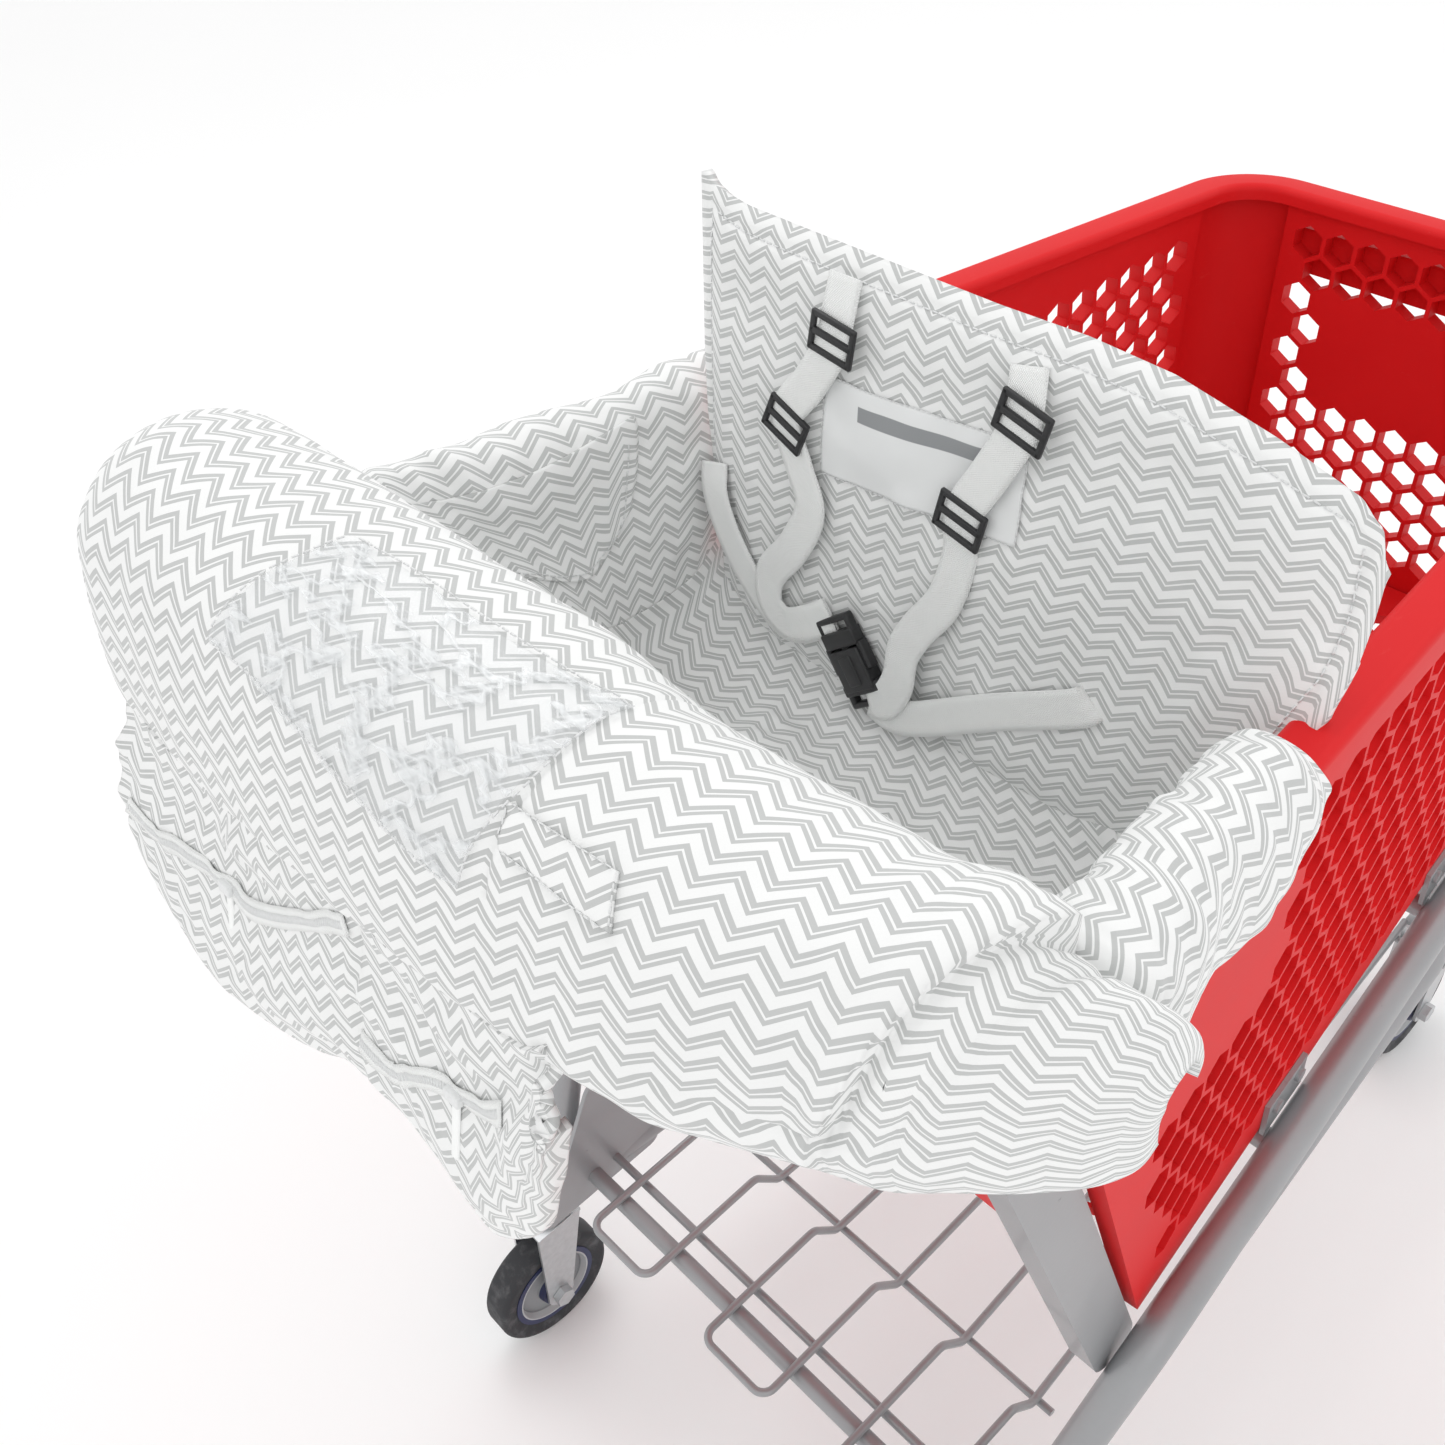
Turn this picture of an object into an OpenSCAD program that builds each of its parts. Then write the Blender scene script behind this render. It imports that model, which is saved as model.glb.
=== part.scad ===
// Shopping cart with a fold-down child seat and a fitted padded seat cover.
// Millimetres, +X to the right as the cart is pushed, +Y to the nose, +Z up.
// Inside the modules y runs from the handle end of the basket rim; seated() moves the
// whole cart so that the origin is under the middle of its length, on the floor.

/* [Rim and basket] */
// Width over the rim at the handle end
rim_rear_w = 586; // [540:2:640]
// Width over the rim at the nose
rim_nose_w = 410; // [380:2:460]
// Length of the rim along the cart
rim_len = 873; // [780:1:960]
// Height of the rim above the floor at the handle end
rim_rear_z = 953; // [920:1:990]
// Height of the rim above the floor at the nose
rim_nose_z = 876; // [840:1:915]
// How far the rim stands out past the basket wall
rim_overhang = 10; // [6:1:14]
// Outside radius of the two nose corners
corner_r = 62; // [45:1:80]
// Distance of the basket floor's rear edge from the handle end
floor_rear_y = 131; // [110:1:150]
// Height of the basket floor's rear edge
floor_rear_z = 511; // [490:1:530]
// Distance of the basket floor's front edge from the handle end of the rim
floor_nose_gap = 28; // [15:1:45]
// Height of the basket floor's front edge
floor_nose_z = 554; // [535:1:575]
// Depth of the honeycomb walls
wall_t = 13; // [10:0.5:16]
// Distance between the honeycomb's holes
hex_pitch = 29; // [27:0.5:34]
// Thickness of the honeycomb's ribs
hex_rib = 3.8; // [3:0.1:5]
// Width of the blank plate in the nose wall
plate_w = 152; // [120:2:180]
// Height of the blank plate in the nose wall
plate_h = 76; // [60:2:90]

/* [Frame] */
// Diameter of the main tubes
tube_d = 28; // [25:0.5:32]
// Height of the base tubes' centre line
base_z = 205; // [195:1:215]
// Half the distance between the base tubes at the rear
base_rear_x = 247; // [238:1:252]
// Half the distance between the front casters
caster_front_x = 160; // [150:1:168]
// Distance of the front casters' pivots from the handle end of the rim
caster_front_y = 845; // [800:1:870]
// Height of the rails beside the basket floor
rail_z = 499; // [490:1:505]
// Where the rails beside the basket end
rail_end_y = 640; // [560:5:700]
// Width of the flat oval rear posts
post_w = 40; // [34:1:44]
// Thickness of the rear posts
post_t = 20; // [16:1:20]
// Diameter of the lower rack's wires
wire_d = 7; // [6:0.5:8]
// Diameter of the handle bar
bar_d = 25; // [22:0.5:28]
// Diameter over the handle's grip
grip_d = 34; // [30:1:36]
// Distance of the handle behind the rim
handle_back = 70; // [60:1:80]
// Height of the handle
handle_z = 990; // [975:1:1005]

/* [Casters] */
// Wheel diameter
wheel_d = 127; // [110:1:135]
// Wheel width
wheel_w = 32; // [28:1:34]
// Diameter of the wheels' axles
axle_d = 12; // [10:0.5:14]
// How far a swivelling wheel trails its pivot
trail = 30; // [24:1:36]
// Half the distance between the rear wheels
wheel_rear_x = 262; // [258:1:266]
// How far the rear wheels stand behind the rim's end
wheel_rear_back = 37; // [30:1:42]

/* [Gate and child seat] */
// Width of the swinging rear gate
gate_w = 452; // [430:2:456]
// Length of the gate below its hinge
gate_len = 424; // [410:1:430]
// Height of the gate's hinge
gate_z = 925; // [915:1:932]
// Width of the seat back
seat_w = 396; // [370:2:400]
// Height of the seat's surface
seat_z = 745; // [735:1:755]
// Distance of the seat back from the handle end of the rim, at the seat
seat_back_y = 250; // [235:1:262]

/* [Cover] */
// Half the width of the cover's roll over the handle
roll_x = 332; // [310:2:340]
// Height of the roll's crest above the handle
roll_rise = 45; // [40:1:50]
// Thickness of the padded fabric
pad_t = 14; // [10:1:16]
// Farthest point of the hanging pocket behind the rim's end
pocket_back = 196; // [180:1:205]

/* [Hidden] */

round_fn = 48;
fit = 0.05;
gap = 0.3;
zip_proud = 4;
bumper_t = 12;

taper = atan((rim_rear_w - rim_nose_w) / 2 / rim_len);
rim_slope = atan((rim_rear_z - rim_nose_z) / rim_len);
floor_nose_y = rim_len - floor_nose_gap;
floor_len = norm([floor_nose_y - floor_rear_y, floor_nose_z - floor_rear_z]);
floor_slope = atan((floor_nose_z - floor_rear_z) / (floor_nose_y - floor_rear_y));
nose_lean = atan(floor_nose_gap / (rim_nose_z - floor_nose_z));
rear_lean = atan(floor_rear_y / (rim_rear_z - floor_rear_z));
rim_top_t = 6;
lip_r = 6;
floor_t = 10;
nose_tip_y = rim_len + rim_overhang * cos(rim_slope) - lip_r * sin(rim_slope);
mid_y = (nose_tip_y - pocket_back - zip_proud) / 2;

function wall_x(y) = rim_rear_w / 2 - rim_overhang - y * tan(taper);
function rim_z(y) = rim_rear_z - y * tan(rim_slope);
function floor_z(y) = floor_rear_z + (y - floor_rear_y) * tan(floor_slope);
function rear_y(z) = (rim_rear_z - z) * tan(rear_lean);
function nose_y(z) = floor_nose_y + (z - floor_nose_z) * tan(nose_lean);
function unit(v) = v / norm(v);
function arc(x, y, r, from, to, n) = [for (i = [0 : n]) let (a = from + (to - from) * i / n)
    [x + r * cos(a), y + r * sin(a)]];
function oval(x, y, rx, ry, from, to, n) = [for (i = [0 : n]) let (a = from + (to - from) * i / n)
    [x + rx * cos(a), y + ry * sin(a)]];
function stadium(p, q, r) = let (a = atan2(q[1] - p[1], q[0] - p[0]))
    concat(arc(p[0], p[1], r, a + 90, a + 270, 12), arc(q[0], q[1], r, a - 90, a + 90, 12));

red = "#d01012";
paint = "#8b8f94";
steel = "#c4c7ca";
rubber = "#2b2c2f";
fabric = "#f3f2ef";
webbing = "#fafafa";
black = "#1c1c1e";

module seated() { translate([0, -mid_y, 0]) children(); }
module on_right(side) { mirror([side > 0 ? 0 : 1, 0, 0]) children(); }

// A plain round bar between two points
module rod(a, b, d) {
  v = b - a;
  turn = atan2(v[1], v[0]);
  translate(a) rotate([0, acos(v[2] / norm(v)), turn]) cylinder(h = norm(v), d = d, $fn = round_fn);
}

// The quarter of a ring that turns a bent bar round the corner c
module elbow(p, c, q, r, d) {
  u = unit(c - p);
  w = unit(q - c);
  turn = acos(u * w);
  side = unit(w - (u * w) * u);
  mid = c - r * tan(turn / 2) * u + r * side;
  across = cross(-side, u);
  multmatrix([[-side[0], u[0], across[0], mid[0]], [-side[1], u[1], across[1], mid[1]],
      [-side[2], u[2], across[2], mid[2]], [0, 0, 0, 1]])
    rotate_extrude(angle = turn, $fn = 96) translate([r, 0]) circle(d = d, $fn = round_fn);
}

function bend_back(pts, i, r) = (i == 0 || i == len(pts) - 1) ? 0 :
    r * tan(acos(unit(pts[i] - pts[i - 1]) * unit(pts[i + 1] - pts[i])) / 2);

// A round bar bent along points with one bend radius. Straights and bends stay a hair
// apart, because solids that share a whole round end face don't join cleanly.
seam = 0.02;
module bent(pts, r, d) {
  last = len(pts) - 1;
  for (i = [1 : last - 1]) elbow(pts[i - 1], pts[i], pts[i + 1], r, d);
  for (i = [0 : last - 1]) {
    u = unit(pts[i + 1] - pts[i]);
    from = pts[i] + (bend_back(pts, i, r) + seam) * u;
    to = pts[i + 1] - (bend_back(pts, i + 1, r) + seam) * u;
    rod(from, to, d);
  }
}

// An outline in Y and Z, given its thickness along X
module across_x(x, t) {
  translate([x, 0, 0]) rotate([90, 0, 90]) linear_extrude(height = t) children();
}

// ---- Base and legs

housing_d = 40;
base_bend = [190, caster_front_y - 85, base_z];
pivot_at = [caster_front_x, caster_front_y, base_z];
function base_path() = [[base_rear_x, -14, base_z], base_bend,
    pivot_at - unit(pivot_at - base_bend) * (housing_d / 2 + gap)];
rail_x_gap = 18;
function rail_x(y) = wall_x(y) + rail_x_gap;
leg_foot = [base_rear_x, -6, base_z];
leg_bend = [rail_x(floor_rear_y - 8), floor_rear_y - 8, rail_z];
leg_seat = tube_d * 0.76;
function leg_path() = [leg_foot + unit(leg_bend - leg_foot) * leg_seat, leg_bend,
    [rail_x(rail_end_y), rail_end_y, rail_z]];
housing_low = 178;
housing_top = 236;
stem_d = 16;

// The tubes' straight runs with a hair of room, as cutters for what is welded to them
cut_d = tube_d + 0.3;
module base_cutter() {
  back = unit(base_path()[0] - base_bend) * 60;
  rod(base_path()[0] + back, base_bend, cut_d);
}

module leg_cutter() { rod(leg_foot, leg_bend, cut_d); }
module rail_cutter() { rod(leg_bend, leg_path()[2], cut_d); }
module front_cutter() { rod(base_bend, base_path()[2], cut_d); }

module base_tube(side) {
  color(paint) seated() on_right(side) bent(base_path(), 60, tube_d);
}

module leg_tube(side) {
  color(paint) seated() on_right(side) bent(leg_path(), 60, tube_d);
}

// Rolled steel housings that hold the swivel stems, and the tube between them
module front_crossbar() {
  color(paint) seated() difference() {
    union() {
      for (s = [-1, 1]) translate([s * caster_front_x, caster_front_y, housing_low])
        cylinder(h = housing_top - housing_low, d = housing_d, $fn = round_fn);
      rod([-caster_front_x, caster_front_y, base_z], [caster_front_x, caster_front_y, base_z], tube_d);
    }
    for (s = [-1, 1]) translate([s * caster_front_x, caster_front_y, housing_low - 1])
      cylinder(h = housing_top - housing_low - 3, d = stem_d + 2 * fit, $fn = round_fn);
  }
}

cross_rod_z = 214;
thick_rod_y = 28;
thin_rod_y = 54;
module rear_cross_rods() {
  color(paint) seated() difference() {
    union() {
      rod([-base_rear_x, thick_rod_y, cross_rod_z], [base_rear_x, thick_rod_y, cross_rod_z], 16);
      rod([-base_rear_x, thin_rod_y, cross_rod_z], [base_rear_x, thin_rod_y, cross_rod_z], 8);
    }
    for (s = [-1, 1]) on_right(s) {
      base_cutter();
      leg_cutter();
      gusset(0.1);
    }
  }
}

gusset_t = 4;
module gusset(slack) {
  across_x(base_rear_x - tube_d / 2 - gusset_t - 1 - slack, gusset_t + 2 * slack)
    polygon(concat(arc(-24, base_z - 4, 12, 90, 270, 8), arc(92, base_z - 4, 12, -90, 30, 6),
      arc(52, 322, 14, 0, 150, 8)));
}

module rear_gussets() {
  color(paint) seated() for (s = [-1, 1]) on_right(s) difference() {
    gusset(0);
    base_cutter();
    leg_cutter();
  }
}

// ---- Rear posts and handle

post_back = post_w / 2 + 7;
function post_y(z) = rear_y(z) - post_back / cos(rear_lean);
post_low_z = 478;
leg_share = (post_low_z - post_w / 2 - base_z) / (rail_z - base_z);
leg_x_low = base_rear_x + (leg_bend[0] - base_rear_x) * leg_share;
post_x = leg_x_low - tube_d / 2 - gap - post_t / 2;
post_top_z = 938;

module post_shape(side) {
  on_right(side) translate([post_x - post_t / 2, 0, 0]) rotate([90, 0, 90])
    linear_extrude(height = post_t)
      polygon(stadium([post_y(post_low_z), post_low_z], [post_y(post_top_z), post_top_z], post_w / 2));
}

module rear_post(side) { color(paint) seated() post_shape(side); }

bracket_r = 19;
module handle_bracket(side) {
  color(black) seated() difference() {
    on_right(side) across_x(post_x - post_t / 2, post_t)
      polygon(stadium([post_y(post_top_z), post_top_z], [-handle_back, handle_z], bracket_r));
    post_shape(side);
    rod([-400, -handle_back, handle_z], [400, -handle_back, handle_z], bar_d);
  }
}

module handle_bar() {
  color(paint) seated() rod([-post_x - 8, -handle_back, handle_z], [post_x + 8, -handle_back, handle_z], bar_d);
}

module handle_grip() {
  grip_x = post_x - post_t / 2 - 1;
  color(black) seated() difference() {
    rod([-grip_x, -handle_back, handle_z], [grip_x, -handle_back, handle_z], grip_d);
    rod([-400, -handle_back, handle_z], [400, -handle_back, handle_z], bar_d);
  }
}

// Bolt heads on the posts' inner faces, where the posts are bolted to the legs
module post_bolts() {
  inner_x = post_x - post_t / 2;
  color(steel) seated() for (s = [-1, 1]) on_right(s) for (z = [post_low_z, post_low_z + 34])
    rod([inner_x - 5, post_y(z), z], [inner_x, post_y(z), z], 16);
}

// ---- Rails under the basket

module under_rails() {
  color(paint) seated() difference() {
    for (y = [300, 560]) rod([-rail_x(y), y, rail_z - 4], [rail_x(y), y, rail_z - 4], 18);
    for (s = [-1, 1]) on_right(s) rail_cutter();
  }
}

bracket_t = 3.6;
module basket_brackets() {
  color(paint) seated() for (s = [-1, 1]) on_right(s) for (y = [322, 580])
    translate([wall_x(y) + 0.2, y, 0]) rotate([0, 0, taper]) {
      translate([0, -28, rail_z + 6]) cube([bracket_t, 56, 34]);
      for (dy = [-16, 16]) translate([bracket_t, dy, rail_z + 30]) rotate([0, 90, 0])
        cylinder(h = 3, d = 11, $fn = round_fn);
    }
}

// ---- Lower rack

rack_z = 193;
rack_rear_y = -10;
rack_front_y = 800;
rack_narrow = 0.78;
module rack_loop(x1, x2) {
  bent([[x1 * rack_narrow, rack_front_y, rack_z], [x1, 150, rack_z], [x1, 124, cross_rod_z + 11.6],
      [x1, rack_rear_y, cross_rod_z + 11.6], [x2, rack_rear_y, cross_rod_z + 11.6],
      [x2, 124, cross_rod_z + 11.6], [x2, 150, rack_z], [x2 * rack_narrow, rack_front_y, rack_z]],
    12, wire_d);
}

module lower_rack() {
  color(paint) seated() for (i = [-1 : 1]) rack_loop(i * 148 - 37, i * 148 + 37);
}

// Wires laid across under the rack, the front one welded to the base tubes
module rack_cross_wires() {
  z = rack_z - wire_d - 0.2;
  front = rack_front_y - 20;
  color(paint) seated() {
    rod([-200, 158, z], [200, 158, z], wire_d);
    rod([-172, 520, z], [172, 520, z], wire_d);
    difference() {
      rod([-200, front, z], [200, front, z], wire_d);
      for (s = [-1, 1]) on_right(s) {
        front_cutter();
        base_cutter();
      }
    }
  }
}

// ---- Basket

hex_row = hex_pitch * sqrt(3) / 2;
hex_hole_r = (hex_pitch - hex_rib) / sqrt(3);
side_solid_y = 250;
side_solid_z = 716;

module hex_hole(x, y) { translate([x, y]) rotate(30) circle(r = hex_hole_r, $fn = 6); }

function side_open(y, z) = z > floor_z(y) + 18 && z < (y > side_solid_y ? rim_z(y) - 48 : side_solid_z)
    && y > rear_y(z) + 40 && y < nose_y(z) - corner_r - 14;

module basket_wall(side) {
  top = rim_top_t + 0.2;
  end = corner_r + gap;
  rows = ceil((rim_rear_z - floor_rear_z) / hex_row);
  cols = ceil(rim_len / hex_pitch);
  rear_gap = 3;
  color(red) seated() on_right(side)
    translate([wall_x(0), 0, 0]) rotate([90, 0, 90 + taper]) translate([0, 0, -wall_t])
      linear_extrude(height = wall_t) difference() {
        polygon([[floor_rear_y + rear_gap, floor_rear_z - floor_t], [nose_y(floor_nose_z - floor_t) - end,
            floor_z(nose_y(floor_nose_z) - end) - floor_t], [nose_y(rim_nose_z) - end,
            rim_z(nose_y(rim_nose_z) - end) - top], [rear_gap, rim_z(rear_gap) - top]]);
        for (j = [0 : rows]) for (i = [0 : cols]) {
          y = (i + (j % 2) / 2) * hex_pitch;
          z = floor_rear_z + 20 + j * hex_row;
          if (side_open(y, z)) hex_hole(y, z);
        }
      }
}

nose_half = wall_x(nose_y(rim_nose_z) - corner_r) - corner_r;
nose_h = (rim_nose_z - rim_top_t - floor_nose_z) / cos(nose_lean);
plate_mid = (nose_h - 2) * 0.62;

module nose_frame() {
  translate([0, floor_nose_y, floor_nose_z]) rotate([-nose_lean, 0, 0]) children();
}

module basket_nose() {
  rows = floor(nose_h / hex_row);
  color(red) seated() nose_frame() {
    rotate([90, 0, 0]) linear_extrude(height = wall_t) difference() {
      translate([-nose_half, -floor_t]) square([2 * nose_half, nose_h + floor_t - 1]);
      for (j = [0 : rows]) for (i = [-5 : 5]) {
        x = (i + (j % 2) / 2) * hex_pitch;
        z = 30 + j * hex_row;
        clear_of_plate = abs(x) > plate_w / 2 + 13 || abs(z - plate_mid) > plate_h / 2 + 13;
        if (abs(x) < nose_half - 10 && z < nose_h - 34 && clear_of_plate) hex_hole(x, z);
      }
    }
    translate([-plate_w / 2, 0, plate_mid - plate_h / 2]) cube([plate_w, 3, plate_h]);
  }
}

corner_t = 5;
module basket_corners() {
  color(red) seated() nose_frame() for (s = [-1, 1]) on_right(s)
    translate([nose_half + gap, -corner_r, -floor_t])
      rotate_extrude(angle = 90, $fn = 96)
        translate([corner_r - corner_t, 0]) square([corner_t, nose_h + floor_t - 2]);
}

module basket_floor() {
  half_rear = wall_x(floor_rear_y) - wall_t / cos(taper) - gap;
  half_nose = wall_x(floor_nose_y) - wall_t / cos(taper) - gap;
  front = floor_len - wall_t - 2;
  chamfer = corner_r;
  cols = ceil(half_rear / hex_pitch);
  rows = floor(floor_len / hex_row);
  color(red) seated() translate([0, floor_rear_y, floor_rear_z]) rotate([floor_slope, 0, 0])
    translate([0, 0, -floor_t]) linear_extrude(height = floor_t) difference() {
      polygon([[-half_rear, 0], [half_rear, 0], [half_nose + 4, front - chamfer],
          [half_nose - chamfer + 8, front], [-half_nose + chamfer - 8, front],
          [-half_nose - 4, front - chamfer]]);
      for (j = [1 : rows]) for (i = [-cols : cols]) {
        x = (i + (j % 2) / 2) * hex_pitch;
        y = j * hex_row;
        edge = wall_x(floor_rear_y + y) - wall_t - 24;
        in_nose = y < front - 26 && abs(x) < edge - max(0, y - front + chamfer + 10);
        in_band = y > 300 && y < 352;
        if (abs(x) < edge && in_nose && !in_band) hex_hole(x, y);
      }
    }
}

// The lip's outline: a rounded top on two skirts, open underneath
module lip_outline() {
  in = -wall_t - 7;
  out = rim_overhang;
  r = lip_r;
  skirt = 26;
  t = 4;
  polygon(concat([[in, -13]], arc(in + r, -r, r, 180, 90, 6), arc(out - r, -r, r, 90, 0, 6),
    [[out, -skirt], [out - t, -skirt], [out - t, -rim_top_t], [in + t, -rim_top_t], [in + t, -13]]));
}

module basket_rim() {
  length = rim_len / cos(rim_slope);
  rear = [wall_x(0), 0];
  nose = [wall_x(rim_len), length];
  swing = 90 - atan((rear[0] - nose[0]) / length);
  r = corner_r;
  back = r * tan(swing / 2);
  along = unit(nose - rear);
  run = norm(nose - rear) - back;
  mid = nose - along * back + [-along[1], along[0]] * r;
  heading = atan2(along[1], along[0]);
  color(red) seated() translate([0, 0, rim_rear_z]) rotate([-rim_slope, 0, 0]) {
    for (s = [-1, 1]) on_right(s) {
      translate([rear[0], rear[1], 0]) translate([along[0], along[1], 0] * run)
        rotate([90, 0, heading - 90]) linear_extrude(height = run) lip_outline();
      translate([mid[0], mid[1], 0]) rotate([0, 0, heading - 90])
        rotate_extrude(angle = swing, $fn = 96) translate([r, 0]) lip_outline();
    }
    translate([-mid[0], length, 0]) rotate([90, 0, 90]) linear_extrude(height = 2 * mid[0])
      lip_outline();
  }
}

// A strip round the front of the nose, below the rim
module nose_bumper() {
  h = 38;
  top = nose_h - 30;
  color(red) seated() nose_frame() translate([0, gap, top - h]) {
    translate([-nose_half, 0, 0]) cube([2 * nose_half, bumper_t, h]);
    for (s = [-1, 1]) on_right(s) translate([nose_half, -corner_r - gap, 0])
      rotate_extrude(angle = 90, $fn = 96) translate([corner_r + 2 * gap, 0]) square([bumper_t - gap, h]);
  }
}

// ---- Rear gate, hung from a rod between the posts

gate_y = post_y(gate_z) + 8;
gate_lean = atan((rear_y(floor_rear_z) - 8 - gate_y) / (gate_z - floor_rear_z));
gate_rod_d = 8;
gate_t = 8;
knuckle_w = 36;

module gate_frame() { translate([0, gate_y, gate_z]) rotate([gate_lean, 0, 0]) children(); }

module gate_rod() {
  color(steel) seated() rod([-post_x + post_t / 2, gate_y, gate_z], [post_x - post_t / 2, gate_y, gate_z],
    gate_rod_d);
}

seat_pivot_y = 112;
seat_pivot_z = 600;
seat_pivot_d = 8;
ear_x = 205;
function in_gate(y, z) = let (dy = y - gate_y, dz = z - gate_z)
    [dy * cos(gate_lean) + dz * sin(gate_lean), dz * cos(gate_lean) - dy * sin(gate_lean)];

module gate_panel() {
  leg_w = 150;
  leg_h = 118;
  lattice_top = -178;
  pivot = in_gate(seat_pivot_y, seat_pivot_z);
  bars = 56;
  color(red) seated() gate_frame() difference() {
    union() {
      rotate([90, 0, 0]) translate([0, 0, -gate_t / 2]) linear_extrude(height = gate_t) difference() {
        translate([-gate_w / 2, -gate_len]) square([gate_w, gate_len - 10]);
        for (s = [-1, 1]) translate([s * 100 - leg_w / 2, -30 - leg_h]) square([leg_w, leg_h]);
        for (j = [0 : 3]) for (i = [-4 : 4]) {
          x = (i + (j % 2) / 2) * bars;
          z = lattice_top - 26 - j * bars / 2 * 1.9;
          if (abs(x) < gate_w / 2 - 28) translate([x, z]) scale([0.82, 1.5]) rotate(45) square(30, center = true);
        }
      }
      for (x = [-170, -57, 57, 170]) {
        translate([x - knuckle_w / 2, 0, 0]) rotate([0, 90, 0]) cylinder(h = knuckle_w, r = 9, $fn = round_fn);
        translate([x - knuckle_w / 2, -gate_t / 2, -12]) cube([knuckle_w, gate_t, 8]);
      }
      for (s = [-1, 1]) on_right(s) translate([ear_x, gate_t / 2, pivot[1] - 11])
        cube([14, pivot[0] + 7, 22]);
    }
    rotate([0, 90, 0]) translate([0, 0, -300]) cylinder(h = 600, d = gate_rod_d + 2 * fit, $fn = round_fn);
    translate([-300, pivot[0], pivot[1]]) rotate([0, 90, 0])
      cylinder(h = 600, d = seat_pivot_d + 0.2, $fn = round_fn);
  }
}

module seat_pivot_rod() {
  color(steel) seated() rod([-ear_x - 18, seat_pivot_y, seat_pivot_z], [ear_x + 18, seat_pivot_y, seat_pivot_z],
    seat_pivot_d);
}

// ---- Child seat

back_top = [seat_back_y + 35, 1036];
back_low = [seat_back_y, seat_z - 5];
back_lean = atan2(back_top[0] - back_low[0], back_top[1] - back_low[1]);
arm_t = 8;
pan_pivot = [seat_back_y - 14, seat_z + 3];
back_t = 8;

module seat_back_frame() {
  h = norm(back_top - back_low);
  color(red) seated() difference() {
    union() {
      for (s = [-1, 1]) on_right(s) across_x(seat_w / 2 - arm_t, arm_t) union() {
        polygon(stadium([seat_pivot_y, seat_pivot_z], back_low + [4, 10], 10));
        polygon([pan_pivot + [-7, -7], back_low + [4, -2], back_low + [4, 20], pan_pivot + [-7, 8]]);
      }
      translate([0, back_low[0], back_low[1]]) rotate([-back_lean, 0, 0]) rotate([90, 0, 0])
        translate([0, 0, -back_t]) linear_extrude(height = back_t) difference() {
          translate([-seat_w / 2 + 2, 0]) square([seat_w - 4, h]);
          for (j = [0 : 3]) for (i = [-2 : 2])
            translate([i * 70 - 25, 40 + j * 62]) square([50, 40]);
        }
    }
    rod([-seat_w, seat_pivot_y, seat_pivot_z], [seat_w, seat_pivot_y, seat_pivot_z], seat_pivot_d + 2 * fit);
    rod([-seat_w, pan_pivot[0], pan_pivot[1]], [seat_w, pan_pivot[0], pan_pivot[1]], 6.1);
  }
}

pan_len = 176;
module seat_pan() {
  half = seat_w / 2 - arm_t - 1;
  color(red) seated() {
    translate([0, pan_pivot[0] - pan_len, seat_z - 6]) linear_extrude(height = 6) difference() {
      translate([-half, 0]) square([2 * half, pan_len]);
      for (j = [0 : 1]) for (i = [-2 : 2]) translate([i * 66 - 22, 22 + j * 62]) square([44, 44]);
    }
    rod([-half - arm_t - 1, pan_pivot[0], pan_pivot[1]], [half + arm_t + 1, pan_pivot[0], pan_pivot[1]], 6);
    translate([-half, pan_pivot[0] - 8, seat_z - 1]) cube([2 * half, 8, 4]);
  }
}

// ---- Casters

fork_gap = wheel_w / 2 + 5;
fork_t = 3;
wheel_r = wheel_d / 2;
crown_z = 164;

// Two stamped legs and a flat crown; back is how far the axle lies behind the crown's middle
module fork(back, top_disc_z) {
  across = fork_gap + fork_t;
  difference() {
    union() {
      for (x = [-across, fork_gap]) across_x(x, fork_t) polygon(concat([[-26, crown_z + 4]],
        arc(-back, wheel_r, 15, 190, 360, 12), [[24, crown_z + 4]]));
      translate([-across, -26, crown_z]) cube([2 * across, 50, 4]);
      cylinder_at(crown_z + 4, top_disc_z, 40);
    }
    rod([-60, -back, wheel_r], [60, -back, wheel_r], axle_d + 0.2);
  }
}

module cylinder_at(low, high, d) { translate([0, 0, low]) cylinder(h = high - low, d = d, $fn = round_fn); }

module front_fork(side) {
  color(steel) seated() translate([side * caster_front_x, caster_front_y, 0]) {
    fork(trail, housing_low - gap);
    cylinder_at(housing_low - gap, housing_top - 6, stem_d);
  }
}

rear_crown_back = 16;
module rear_fork(side) {
  color(steel) seated() on_right(side) difference() {
    translate([wheel_rear_x, -rear_crown_back, 0]) {
      fork(wheel_rear_back - rear_crown_back, base_z - tube_d / 2 - 12);
      translate([-8, 8, 0]) cylinder_at(crown_z + 4, base_z, 24);
    }
    base_cutter();
  }
}

// side, then front or rear
module at_wheel(side, front) {
  x = side * (front ? caster_front_x : wheel_rear_x);
  y = front ? caster_front_y - trail : -wheel_rear_back;
  translate([x, y, wheel_r]) rotate([0, 90, 0]) children();
}

tread_in = 46;
module tyre(side, front) {
  w = wheel_w / 2;
  color(rubber) seated() at_wheel(side, front) rotate_extrude($fn = 128)
    polygon(concat([[tread_in, -w + 3]], arc(wheel_r - 6, -w + 6, 6, -90, -8, 6),
      arc(wheel_r - 6, w - 6, 6, 8, 90, 6), [[tread_in, w - 3]]));
}

module hub(side, front) {
  w = wheel_w / 2;
  color(steel) seated() at_wheel(side, front) rotate_extrude($fn = 128)
    polygon([[axle_d / 2 + fit, -w - 3], [17, -w - 3], [19, -w + 6], [36, -w + 9], [39, -w + 2],
      [tread_in, -w + 2], [tread_in, w - 2], [39, w - 2], [36, w - 9], [19, w - 6], [17, w + 3],
      [axle_d / 2 + fit, w + 3]]);
}

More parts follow.
